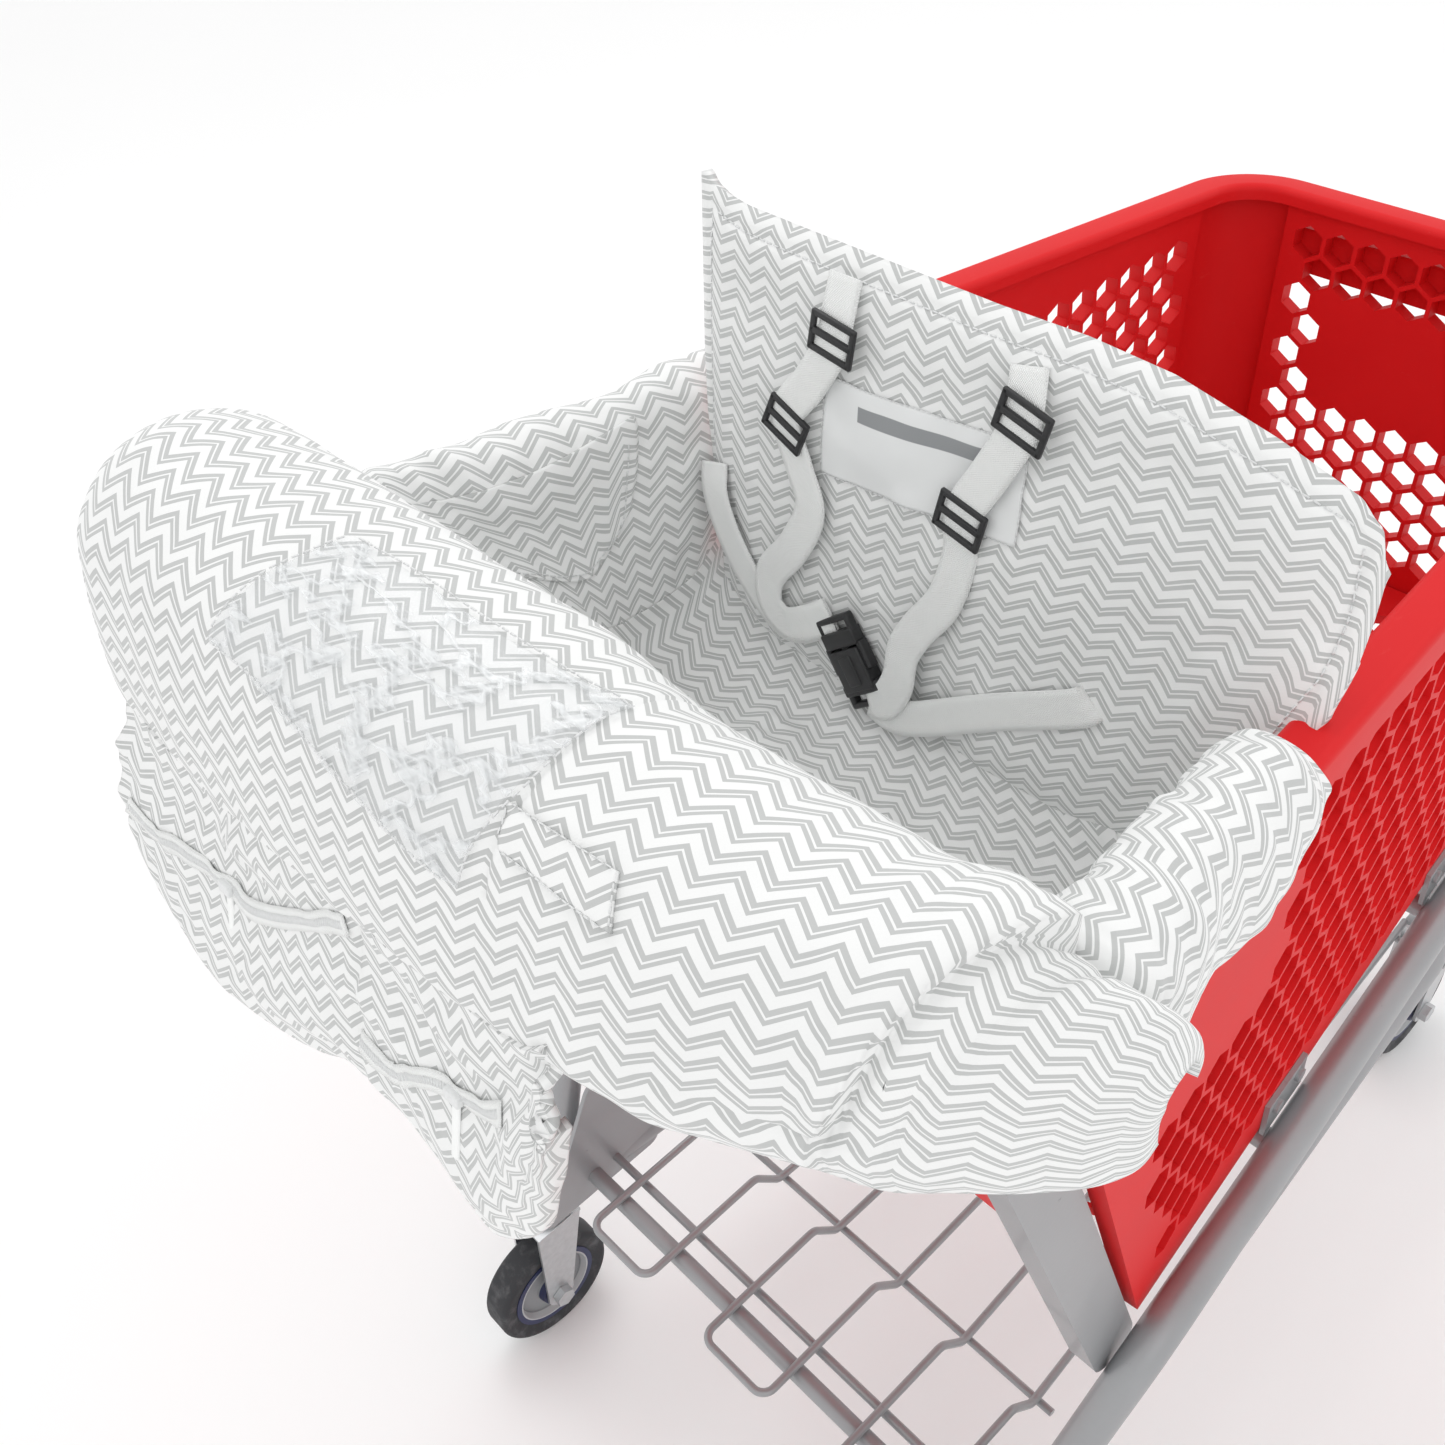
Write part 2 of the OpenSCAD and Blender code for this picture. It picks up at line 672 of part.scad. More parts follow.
module axle(side, front) {
  w = fork_gap + fork_t;
  color(steel) seated() at_wheel(side, front) {
    translate([0, 0, -w - 1]) cylinder(h = 2 * w + 2, d = axle_d, $fn = round_fn);
    translate([0, 0, w + 0.2]) cylinder(h = 8, d = 21, $fn = 6);
    translate([0, 0, -w - 8.2]) cylinder(h = 8, d = 21, $fn = 6);
  }
}

// ---- Padded fabric cover

roll_ry = roll_rise + 1;
roll_rx = 72;
roll_y = -65;
roll_z = handle_z - 2;
roll_low = 856;
// Past this width on the right the roll's back hem is higher
roll_short_x = 118;
roll_short_z = 924;

module cover_roll() {
  low_front = roll_z - 8;
  inner_x = roll_rx - pad_t;
  inner_z = roll_ry - pad_t + 2;
  color(fabric) seated() difference() {
    across_x(-roll_x, 2 * roll_x)
      polygon(concat([[roll_y + roll_rx, low_front]], oval(roll_y, roll_z, roll_rx, roll_ry, 0, 180, 24),
        [[roll_y - roll_rx - 4, roll_low], [roll_y - inner_x - 4, roll_low]],
        oval(roll_y, roll_z, inner_x, inner_z, 180, 0, 24), [[roll_y + inner_x, low_front]]));
    translate([roll_short_x, roll_y - 2 * roll_rx, roll_low - 1])
      cube([roll_x, 2 * roll_rx, roll_short_z - roll_low + 1]);
  }
}

// A clear flat window sewn on the roll
module phone_window() {
  color("#dfe5ea") seated() translate([-185, -132, roll_z + roll_ry + 0.4]) cube([245, 84, 1]);
}

module cover_pocket() {
  color(fabric) seated() across_x(-300, 410)
    polygon([[roll_y - roll_rx + 8, roll_low - gap], [roll_y - roll_rx - 4, roll_low - gap],
      [-pocket_back + 20, 806], [-pocket_back, 770], [-pocket_back, 738], [-pocket_back + 10, 714],
      [-pocket_back + 24, 712], [-pocket_back + 16, 745], [-pocket_back + 16, 765],
      [-pocket_back + 36, 800]]);
}

seat_front_y = 150;
pad_z = seat_z;
module cover_apron() {
  top = [roll_y + roll_rx - 2, roll_z - 8 - gap];
  color(fabric) seated() across_x(-205, 410)
    polygon([top, [seat_front_y + 3, pad_z + 20], [seat_front_y + 3, pad_z + 6], [seat_front_y - 9, pad_z + 6],
      top + [-1, -14]]);
}

module seat_pad() {
  color(fabric) seated() translate([-seat_w / 2 + 2, seat_front_y + 3.5, pad_z + gap])
    cube([seat_w - 4, seat_back_y - seat_front_y - 30, 18]);
}

function back_face(z, off) = back_low[0] + (z - back_low[1]) * (back_top[0] - back_low[0])
    / (back_top[1] - back_low[1]) - off;

module back_pad() {
  left_top = 1072;
  right_top = 1030;
  low = pad_z + 22;
  color(fabric) seated() intersection() {
    across_x(-245, 490) polygon([[back_face(low, 1), low], [back_face(low, 20), low],
      [back_face(left_top, 20), left_top], [back_face(left_top, 1), left_top]]);
    rotate([90, 0, 0]) translate([0, 0, -400]) linear_extrude(height = 400)
      polygon([[-200, low], [200, low], [200, 946], [245, 946], [245, right_top], [-232, left_top],
        [-240, 946], [-200, 946]]);
  }
}

// A limp sheet over the rim beside the seat: a top, a flap outside and a flap inside
module wing_shape(y0, y1, drop_out, drop_in) {
  clear = 4;
  rest = 0.5;
  sheet = 6;
  translate([wall_x(0), 0, rim_rear_z]) rotate([-rim_slope, 0, 0]) rotate([0, 0, taper])
    translate([0, y1, 0]) rotate([90, 0, 0]) linear_extrude(height = y1 - y0)
      polygon([[rim_overhang + clear, -drop_out], [rim_overhang + clear + sheet, -drop_out],
        [rim_overhang + clear + sheet, sheet + rest], [-wall_t - 7 - clear - sheet, sheet + rest],
        [-wall_t - 7 - clear - sheet, -drop_in], [-wall_t - 7 - clear, -drop_in],
        [-wall_t - 7 - clear, rest], [rim_overhang + clear, rest]]);
}

module wing_left() { color(fabric) seated() on_right(-1) wing_shape(60, 320, 40, 150); }
module wing_right() { color(fabric) seated() wing_shape(48, 262, 88, 120); }

strap_w = 28;
strap_t = 2.4;
// A strap lying on the back pad between two points given across and up
module back_strap(a, b) {
  translate([0, back_face(a[1], 21), a[1]]) rotate([-back_lean, 0, 0]) rotate([90, 0, 0])
    linear_extrude(height = strap_t)
      polygon([[a[0] - strap_w / 2, 0], [a[0] + strap_w / 2, 0], [b[0] + strap_w / 2, b[1] - a[1]],
        [b[0] - strap_w / 2, b[1] - a[1]]]);
}

module shoulder_straps() {
  color(webbing) seated() {
    back_strap([-128, 852], [-84, 1040]);
    back_strap([16, 830], [54, 1030]);
  }
}

buckle = [-56, 806];
module waist_strap() { color(webbing) seated() back_strap([-150, 838], [-192, 880]); }

module buckle_frame() {
  translate([buckle[0], back_face(buckle[1], 19.6), buckle[1]]) rotate([-back_lean, 0, 0])
    rotate([0, -38, 0]) children();
}

module buckle_body() {
  color(black) seated() buckle_frame() difference() {
    translate([-20, -14, -26]) cube([40, 13, 40]);
    translate([-13, -11, -6]) cube([26, 7, 30]);
  }
}

module buckle_tongue() {
  color(black) seated() buckle_frame() {
    translate([-12.5, -10.6, -4]) cube([25, 6.2, 20]);
    translate([-18, -12, 14.3]) cube([36, 9, 16]);
  }
}

module zip_pull(side) {
  color(webbing) seated() translate([side < 0 ? -190 : 40, -pocket_back - zip_proud, 742])
    cube([6, zip_proud - gap, 24]);
}

base_tube(-1);  // base_tube_left
base_tube(1);  // base_tube_right
leg_tube(-1);  // leg_tube_left
leg_tube(1);  // leg_tube_right
rear_post(-1);  // rear_post_left
rear_post(1);  // rear_post_right
rear_cross_rods();
front_crossbar();
rear_gussets();
post_bolts();
under_rails();
basket_brackets();
lower_rack();
rack_cross_wires();
handle_bar();
handle_grip();
handle_bracket(-1);  // handle_bracket_left
handle_bracket(1);  // handle_bracket_right
basket_wall(-1);  // basket_wall_left
basket_wall(1);  // basket_wall_right
basket_nose();
basket_floor();
basket_rim();
basket_corners();
nose_bumper();
gate_rod();
gate_panel();
seat_pivot_rod();
seat_back_frame();
seat_pan();
rear_fork(-1);  // rear_fork_left
rear_fork(1);  // rear_fork_right
front_fork(-1);  // front_fork_left
front_fork(1);  // front_fork_right
tyre(-1, false);  // tyre_rear_left
tyre(1, false);  // tyre_rear_right
tyre(-1, true);  // tyre_front_left
tyre(1, true);  // tyre_front_right
hub(-1, false);  // hub_rear_left
hub(1, false);  // hub_rear_right
hub(-1, true);  // hub_front_left
hub(1, true);  // hub_front_right
axle(-1, false);  // axle_rear_left
axle(1, false);  // axle_rear_right
axle(-1, true);  // axle_front_left
axle(1, true);  // axle_front_right
cover_roll();
phone_window();
cover_pocket();
cover_apron();
seat_pad();
back_pad();
wing_left();
wing_right();
shoulder_straps();
waist_strap();
buckle_body();
buckle_tongue();
zip_pull(-1);  // zip_pull_left
zip_pull(1);  // zip_pull_right
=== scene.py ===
import math
import bpy
import numpy as np
from mathutils import Matrix, Vector


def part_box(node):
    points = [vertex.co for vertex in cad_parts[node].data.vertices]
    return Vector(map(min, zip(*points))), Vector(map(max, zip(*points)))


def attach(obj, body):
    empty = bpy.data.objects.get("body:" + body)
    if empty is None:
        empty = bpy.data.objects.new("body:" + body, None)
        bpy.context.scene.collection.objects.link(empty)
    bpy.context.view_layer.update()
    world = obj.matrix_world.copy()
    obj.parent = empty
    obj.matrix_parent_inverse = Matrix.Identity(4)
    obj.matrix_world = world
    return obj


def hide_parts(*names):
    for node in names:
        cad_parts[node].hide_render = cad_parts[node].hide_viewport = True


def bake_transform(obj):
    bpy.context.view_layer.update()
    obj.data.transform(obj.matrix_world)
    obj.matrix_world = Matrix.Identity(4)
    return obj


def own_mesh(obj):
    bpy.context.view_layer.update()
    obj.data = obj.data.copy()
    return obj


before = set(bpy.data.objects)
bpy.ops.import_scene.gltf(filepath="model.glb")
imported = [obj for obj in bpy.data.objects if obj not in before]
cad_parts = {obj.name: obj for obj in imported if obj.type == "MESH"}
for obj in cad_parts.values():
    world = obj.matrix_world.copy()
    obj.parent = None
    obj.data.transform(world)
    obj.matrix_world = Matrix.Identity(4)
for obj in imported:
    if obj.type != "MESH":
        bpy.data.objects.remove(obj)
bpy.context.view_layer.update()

# ---- Studio
# A white sweep under broad soft lamps, and the camera above the handle end on the right.
RIM_END = -0.341217  # where the rim's handle end lies along the cart, in metres


def spot(x, y, z):
    """Millimetres from the rim's handle end, on the centre line and the floor, as metres."""
    return np.array([x / 1000, y / 1000 + RIM_END, z / 1000])


def aim_camera(place, azimuth, elevation, roll, lens):
    """Right is the heading's own right and up is right x forward, both turned by roll."""
    az, el, ro = (math.radians(a) for a in (azimuth, elevation, roll))
    back = Vector((math.sin(az) * math.cos(el), -math.cos(az) * math.cos(el), math.sin(el)))
    right = Vector((math.cos(az), math.sin(az), 0))
    up = back.cross(right)
    side = right * math.cos(ro) + up * math.sin(ro)
    top = up * math.cos(ro) - right * math.sin(ro)
    turn = Matrix((side, top, back)).transposed().to_4x4()
    data = bpy.data.cameras.new("camera")
    data.lens = lens
    data.sensor_width = 36
    camera = bpy.data.objects.new("camera", data)
    camera.matrix_world = Matrix.Translation(Vector(place)) @ turn
    bpy.context.scene.collection.objects.link(camera)
    bpy.context.scene.camera = camera


def lamp(name, place, target, size, power):
    data = bpy.data.lights.new(name, "AREA")
    data.shape = "DISK"
    data.size = size
    data.energy = power
    light = bpy.data.objects.new(name, data)
    light.location = place
    light.rotation_euler = (Vector(target) - Vector(place)).to_track_quat("-Z", "Y").to_euler()
    bpy.context.scene.collection.objects.link(light)


aim_camera(spot(497.8, -318.1, 1486.1), 52.122, 42.776, -7.586, 38.64)
lamp("key", (-1.6, 0.6, 3.1), (0, -0.1, 0.8), 1.6, 13)
lamp("fill", (2.4, -1.8, 2.2), (0, 0, 0.7), 2.2, 5)
lamp("nose_light", (0.6, 2.6, 2.4), (0, 0.2, 0.7), 1.8, 4)
world = bpy.data.worlds.new("white room")
world.use_nodes = True
world.node_tree.nodes["Background"].inputs["Color"].default_value = (1, 1, 1, 1)
world.node_tree.nodes["Background"].inputs["Strength"].default_value = 1.0
bpy.context.scene.world = world
bpy.context.scene.view_settings.view_transform = "Standard"


# Shader arithmetic: an operator on a Socket adds the Math node that does it.
class Socket:
    """A node's output. Python arithmetic on it adds Math nodes to the same material."""

    def __init__(self, tree, out):
        self.tree = tree
        self.out = out

    def math(self, operation, *others):
        inputs = dict(enumerate((self,) + others))
        return node(self.tree, "ShaderNodeMath", {"operation": operation}, inputs)

    def __add__(self, other):
        return self.math("ADD", other)

    def __sub__(self, other):
        return self.math("SUBTRACT", other)

    def __rsub__(self, other):
        return node(self.tree, "ShaderNodeMath", {"operation": "SUBTRACT"}, {0: other, 1: self})

    def __mul__(self, other):
        return self.math("MULTIPLY", other)

    def __truediv__(self, other):
        return self.math("DIVIDE", other)

    def __gt__(self, other):
        return self.math("GREATER_THAN", other)

    __radd__ = __add__
    __rmul__ = __mul__

    def fract(self):
        return self.math("FRACT")

    def abs(self):
        return self.math("ABSOLUTE")

    def ramp(self, low, high):
        """0 below low, 1 above high, smooth in between."""
        settings = {"interpolation_type": "SMOOTHSTEP"}
        return node(self.tree, "ShaderNodeMapRange", settings, {0: self, 1: low, 2: high})


def node(tree, kind, settings, values, out=0):
    """A new node with its settings made first, then its inputs: numbers, colours or Sockets."""
    made = tree.nodes.new(kind)
    for key, value in settings.items():
        setattr(made, key, value)
    for key, value in values.items():
        if isinstance(value, Socket):
            tree.links.new(value.out, made.inputs[key])
        else:
            made.inputs[key].default_value = value
    return Socket(tree, made.outputs[out])


def finish(name):
    """A new material and its node tree, with the shader's constants still to be set."""
    made = bpy.data.materials.new(name)
    made.use_nodes = True
    return made, made.node_tree


def shade(tree, bump=None, strength=0.2, distance=0.001, **values):
    """Sets the shader's sockets. A name's underscores stand for spaces."""
    shader = tree.nodes["Principled BSDF"]
    for key, value in values.items():
        socket = shader.inputs[key.replace("_", " ")]
        if isinstance(value, Socket):
            tree.links.new(value.out, socket)
        else:
            socket.default_value = value
    if bump is not None:
        settings = {"Strength": strength, "Distance": distance, "Height": bump}
        normal = node(tree, "ShaderNodeBump", {}, settings)
        tree.links.new(normal.out, shader.inputs["Normal"])


def place_of(tree):
    return node(tree, "ShaderNodeTexCoord", {}, {}, "Object")


def axis_of(tree, vector, axis):
    return node(tree, "ShaderNodeSeparateXYZ", {}, {0: vector}, axis)


def cloth_place(tree, axis):
    """U ("X") or V ("Y") of the piece's own cloth coordinates, in metres."""
    return axis_of(tree, node(tree, "ShaderNodeUVMap", {"uv_map": "cloth"}, {}), axis)


def noise(tree, where, scale, detail=2.0, rough=0.5):
    values = {"Vector": where, "Scale": scale, "Detail": detail, "Roughness": rough}
    return node(tree, "ShaderNodeTexNoise", {}, values)


def mix(tree, factor, a, b):
    """Colour a where factor is 0, colour b where it is 1."""
    values = {0: factor, 6: a, 7: b}
    return node(tree, "ShaderNodeMix", {"data_type": "RGBA"}, values, 2)


def floor_finish():
    made, tree = finish("white floor")
    tone = noise(tree, place_of(tree), 1.2)
    shade(tree, Base_Color=mix(tree, tone, (0.95, 0.95, 0.95, 1), (0.97, 0.97, 0.97, 1)), Roughness=0.7)
    return made


bpy.ops.mesh.primitive_plane_add(size=30)
floor = bpy.context.object
floor.name = "floor"
floor.data.materials.append(floor_finish())


# ---- Steel frame
# Bent and welded steel tube and rod under a coat of silver-grey powder paint.
def grey_paint():
    made, tree = finish("silver grey paint")
    where = place_of(tree)
    cloud = noise(tree, where, 14.0, 4.0)
    grain = noise(tree, where, 900.0, 2.0)
    peel = noise(tree, where, 260.0, 1.0)
    rub = noise(tree, where, 60.0, 6.0, 0.7).ramp(0.66, 0.74)
    tone = mix(tree, cloud, (0.30, 0.305, 0.315, 1), (0.39, 0.395, 0.405, 1))
    tone = mix(tree, rub * 0.5, tone, (0.2, 0.2, 0.205, 1))
    shade(tree, bump=peel + grain * 0.4, strength=0.12, distance=0.0006, Base_Color=tone,
        Metallic=0.35, Roughness=0.34 + cloud * 0.14 + rub * 0.15, Coat_Weight=0.15)
    return made


def zinc():
    made, tree = finish("zinc plated steel")
    where = place_of(tree)
    spangle = noise(tree, where, 180.0, 3.0)
    brushed = noise(tree, node(tree, "ShaderNodeMapping", {}, {0: where, 3: (40, 40, 900)}), 1.0)
    tone = mix(tree, spangle, (0.46, 0.47, 0.48, 1), (0.64, 0.65, 0.66, 1))
    shade(tree, bump=brushed, strength=0.12, distance=0.0004, Base_Color=tone, Metallic=0.9,
        Roughness=0.3 + spangle * 0.16)
    return made


def dress(names, material, sharp=32):
    """Gives CAD nodes a finish, and rounds their shading between edges sharper than sharp."""
    for name in names:
        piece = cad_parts[name]
        piece.data.materials.clear()
        piece.data.materials.append(material)
        piece.data.polygons.foreach_set("use_smooth", np.ones(len(piece.data.polygons), bool))
        weld = piece.modifiers.new("weld", "WELD")
        weld.merge_threshold = 0.00001
        split = piece.modifiers.new("edges", "EDGE_SPLIT")
        split.split_angle = math.radians(sharp)


paint = grey_paint()
steel = zinc()
dress(["base_tube_left", "base_tube_right", "leg_tube_left", "leg_tube_right", "rear_post_left",
    "rear_post_right", "rear_cross_rods", "front_crossbar", "rear_gussets", "under_rails",
    "basket_brackets", "lower_rack", "rack_cross_wires", "handle_bar"], paint)
dress(["post_bolts", "gate_rod", "seat_pivot_rod", "rear_fork_left", "rear_fork_right",
    "front_fork_left", "front_fork_right", "axle_rear_left", "axle_rear_right",
    "axle_front_left", "axle_front_right"], steel)


# ---- Basket, gate and child seat
# Injection moulded polypropylene in bright red, with a fine spark-eroded grain on its faces.
def red_plastic():
    made, tree = finish("red plastic")
    where = place_of(tree)
    cloud = noise(tree, where, 9.0, 3.0)
    grain = noise(tree, where, 1400.0, 1.0)
    scuff = noise(tree, node(tree, "ShaderNodeMapping", {}, {0: where, 3: (30, 6, 60)}), 4.0, 6.0, 0.75)
    worn = scuff.ramp(0.62, 0.72)
    tone = mix(tree, cloud, (0.66, 0.010, 0.013, 1), (0.76, 0.017, 0.019, 1))
    tone = mix(tree, worn * 0.25, tone, (0.75, 0.10, 0.09, 1))
    shade(tree, bump=grain + worn * 0.3, strength=0.08, distance=0.0003, Base_Color=tone,
        Roughness=0.46 + cloud * 0.08 + worn * 0.14, Specular_IOR_Level=0.16)
    return made


red = red_plastic()
dress(["basket_wall_left", "basket_wall_right", "basket_nose", "basket_floor", "basket_rim",
    "basket_corners", "nose_bumper", "gate_panel", "seat_back_frame", "seat_pan"], red)


# ---- Casters
# A grey polypropylene wheel with a moulded-on rubber tread, turning on a bolt.
def tread_rubber():
    made, tree = finish("tread rubber")
    where = place_of(tree)
    dust = noise(tree, where, 45.0, 5.0, 0.65)
    tone = mix(tree, dust.ramp(0.45, 0.75), (0.028, 0.029, 0.033, 1), (0.11, 0.11, 0.115, 1))
    shade(tree, bump=noise(tree, where, 700.0), strength=0.25, distance=0.0004, Base_Color=tone,
        Roughness=0.62 + dust * 0.2)
    return made


def wheel_plastic(name, across, up):
    """Rings round the axle: navy next to the tread, then light grey, mid grey and a navy hub."""
    made, tree = finish(name)
    where = place_of(tree)
    y = axis_of(tree, where, "Y") - across
    z = axis_of(tree, where, "Z") - up
    r = (y * y + z * z).math("SQRT")
    tone = mix(tree, r > 0.0185, (0.02, 0.025, 0.075, 1), (0.26, 0.265, 0.275, 1))
    tone = mix(tree, r > 0.0365, tone, (0.46, 0.465, 0.475, 1))
    tone = mix(tree, r > 0.0405, tone, (0.022, 0.028, 0.085, 1))
    scuff = noise(tree, where, 70.0, 5.0)
    shade(tree, bump=noise(tree, where, 900.0), strength=0.12, distance=0.0003, Base_Color=tone,
        Roughness=0.36 + scuff * 0.2)
    return made


rubber = tread_rubber()
for corner in ("rear_left", "rear_right", "front_left", "front_right"):
    low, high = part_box("hub_" + corner)
    dress(["tyre_" + corner], rubber)
    middle = [(a + b) / 2 for a, b in zip(low, high)]
    dress(["hub_" + corner], wheel_plastic("wheel plastic " + corner, middle[1], middle[2]))


# ---- Handle fittings and buckle plastic
# Black nylon, moulded, with a matt grain.
def black_nylon():
    made, tree = finish("black nylon")
    where = place_of(tree)
    cloud = noise(tree, where, 60.0, 3.0)
    tone = mix(tree, cloud, (0.012, 0.012, 0.013, 1), (0.030, 0.030, 0.032, 1))
    shade(tree, bump=noise(tree, where, 1100.0), strength=0.2, distance=0.0003, Base_Color=tone,
        Roughness=0.34 + cloud * 0.12)
    return made


nylon = black_nylon()
dress(["handle_grip", "handle_bracket_left", "handle_bracket_right"], nylon)


# ---- Printed cover fabric
# White polyester twill printed with grey zigzag rows, a thick line and a thin one side by side.
def zigzag_print(name="zigzag fabric", wave=0.028, rise=0.0105, row=0.0125):
    """Rows repeat across V; a triangle wave of U lifts them. All three sizes are in metres."""
    made, tree = finish(name)
    u = cloth_place(tree, "X")
    v = cloth_place(tree, "Y")
    where = place_of(tree)
    wobble = noise(tree, where, 30.0) * 0.0012
    zig = ((u / wave).fract() - 0.5).abs() * (2 * rise)
    phase = ((v + zig + wobble) / row).fract()
    soft = 0.018  # how blurred a printed edge is, as a share of a row
    threads = 2600.0  # radians of weave in a metre
    thick = phase.ramp(0.02, 0.02 + soft) - phase.ramp(0.27, 0.27 + soft)
    thin = phase.ramp(0.36, 0.36 + soft) - phase.ramp(0.55, 0.55 + soft)
    ink = thick + thin
    shades = noise(tree, where, 22.0, 3.0)
    white = mix(tree, shades, (0.84, 0.845, 0.84, 1), (0.90, 0.905, 0.90, 1))
    tone = mix(tree, ink * 0.95, white, (0.52, 0.53, 0.525, 1))
    warp = (u * threads).math("SINE")
    weft = (v * threads).math("SINE")
    fuzz = noise(tree, where, 1500.0)
    shade(tree, bump=warp * weft + fuzz, strength=0.1, distance=0.0002, Base_Color=tone,
        Roughness=0.82 + shades * 0.1, Sheen_Weight=0.2, Sheen_Roughness=0.5)
    return made


fabric = zigzag_print()


# ---- Roll over the handle
# A padded tunnel of the printed fabric, closed round the handle and gathered at both ends. Near
# the right end the wide panel is folded over the end piece in a slanted pleat.
def through(points, count):
    """A Catmull-Rom curve through points: each span is a cubic whose slope at a point is half the
    step between that point's neighbours. Returned at count even steps of chord length."""
    p = np.asarray(points, float)
    p = np.vstack([2 * p[0] - p[1], p, 2 * p[-1] - p[-2]])
    t = np.linspace(0, 1, 24, endpoint=False)[:, None]
    spans = []
    for a, b, c, d in zip(p, p[1:], p[2:], p[3:]):
        spans.append(0.5 * (2 * b + (c - a) * t + (2 * a - 5 * b + 4 * c - d) * t**2
            + (3 * b - a - 3 * c + d) * t**3))
    dense = np.vstack(spans + [p[-2:-1]])
    step = np.r_[0, np.cumsum(np.linalg.norm(np.diff(dense, axis=0), axis=1))]
    even = np.linspace(0, step[-1], count)
    return np.stack([np.interp(even, step, dense[:, k]) for k in range(p.shape[1])], axis=1)


def skin(curves, rows, cols):
    """A grid through several curves: each is resampled to cols points by through(), and then the
    rows are a through() of the whole curves taken as single points of many coordinates."""
    even = np.stack([through(curve, cols) for curve in curves])
    return through(even.reshape(len(curves), -1), rows).reshape(rows, cols, 3)


def arc_uv(points, turned=False):
    """Cloth coordinates in metres: mean arc length along each way of the grid."""
    along = np.linalg.norm(np.diff(points, axis=0), axis=2).mean(axis=1)
    across = np.linalg.norm(np.diff(points, axis=1), axis=2).mean(axis=0)
    v, u = np.meshgrid(np.r_[0, np.cumsum(along)], np.r_[0, np.cumsum(across)], indexing="ij")
    return np.stack([v, u] if turned else [u, v], axis=2)


def normals_of(points):
    """Unit normals of a grid: the cross product of its central differences across and along."""
    n = np.cross(np.gradient(points, axis=1), np.gradient(points, axis=0))
    return n / np.maximum(np.linalg.norm(n, axis=2, keepdims=True), 1e-9)


def metres(points):
    """Points in millimetres from the rim's end, as metres in the frame."""
    return np.asarray(points, float) / 1000 + np.array([0, RIM_END, 0])


def mesh_object(name, points, faces, material, uv=None, thickness=0.0):
    """An object from points in metres. Thickness is grown behind the faces."""
    data = bpy.data.meshes.new(name)
    data.from_pydata(points.tolist(), [], faces.tolist())
    if uv is not None:
        layer = data.uv_layers.new(name="cloth")
        loops = np.empty(len(data.loops), np.int32)
        data.loops.foreach_get("vertex_index", loops)
        layer.data.foreach_set("uv", uv[loops].astype(np.float32).ravel())
    data.polygons.foreach_set("use_smooth", np.ones(len(data.polygons), bool))
    data.materials.append(material)
    made = bpy.data.objects.new(name, data)
    bpy.context.scene.collection.objects.link(made)
    if thickness:
        solid = made.modifiers.new("thickness", "SOLIDIFY")
        solid.thickness = thickness
        solid.offset = -1
    return made


def sheet_mesh(name, grid, material, turned=False, thickness=0.0):
    """Quads between neighbouring points of a grid given in millimetres, with cloth coordinates."""
    points = metres(grid)
    rows, cols = points.shape[:2]
    index = np.arange(rows * cols).reshape(rows, cols)
    quads = np.stack([index[:-1, :-1], index[:-1, 1:], index[1:, 1:], index[1:, :-1]], axis=2)
    uv = arc_uv(points, turned).reshape(-1, 2)
    return mesh_object(name, points.reshape(-1, 3), quads.reshape(-1, 4), material, uv, thickness)


def ripples(shape, seed, cells, amount):
    """Smooth random relief: a coarse grid of seeded numbers, blended by raised cosines."""
    coarse = np.random.default_rng(seed).normal(size=(cells[0] + 2, cells[1] + 2))
    x = np.linspace(0, cells[0], shape[0])
    y = np.linspace(0, cells[1], shape[1])
    i = np.minimum(x.astype(int), cells[0] - 1)
    j = np.minimum(y.astype(int), cells[1] - 1)
    f = (0.5 - 0.5 * np.cos(np.pi * (x - i)))[:, None]
    g = 0.5 - 0.5 * np.cos(np.pi * (y - j))
    top = coarse[i][:, j] * (1 - g) + coarse[i][:, j + 1] * g
    low = coarse[i + 1][:, j] * (1 - g) + coarse[i + 1][:, j + 1] * g
    return amount * (top * (1 - f) + low * f)


def sample(grid, place):
    """A grid's point at fractional row and column numbers, by bilinear blending."""
    i = np.clip(place[..., 0], 0, grid.shape[0] - 1.001)
    j = np.clip(place[..., 1], 0, grid.shape[1] - 1.001)
    a, b = i.astype(int), j.astype(int)
    f, g = (i - a)[..., None], (j - b)[..., None]
    return ((grid[a, b] * (1 - g) + grid[a, b + 1] * g) * (1 - f)
        + (grid[a + 1, b] * (1 - g) + grid[a + 1, b + 1] * g) * f)


def nearest(grid, points):
    """Row and column of the grid point nearest to each given point."""
    flat = grid.reshape(-1, 3)
    found = [np.argmin(((flat - np.asarray(p, float)) ** 2).sum(axis=1)) for p in points]
    return np.stack(np.unravel_index(found, grid.shape[:2]), axis=1).astype(float)


def patch(grid, corners, rows, cols, lift):
    """Part of a grid between four corner points, raised along the grid's own normals."""
    a, b, c, d = nearest(grid, corners)
    v, u = np.meshgrid(np.linspace(0, 1, rows), np.linspace(0, 1, cols), indexing="ij")
    v, u = v[..., None], u[..., None]
    place = (a * (1 - u) + b * u) * (1 - v) + (d * (1 - u) + c * u) * v
    return sample(grid, place) + sample(normals_of(grid), place) * lift


def rounded(piece, width, segments):
    bevel = piece.modifiers.new("edge", "BEVEL")
    bevel.width = width
    bevel.segments = segments


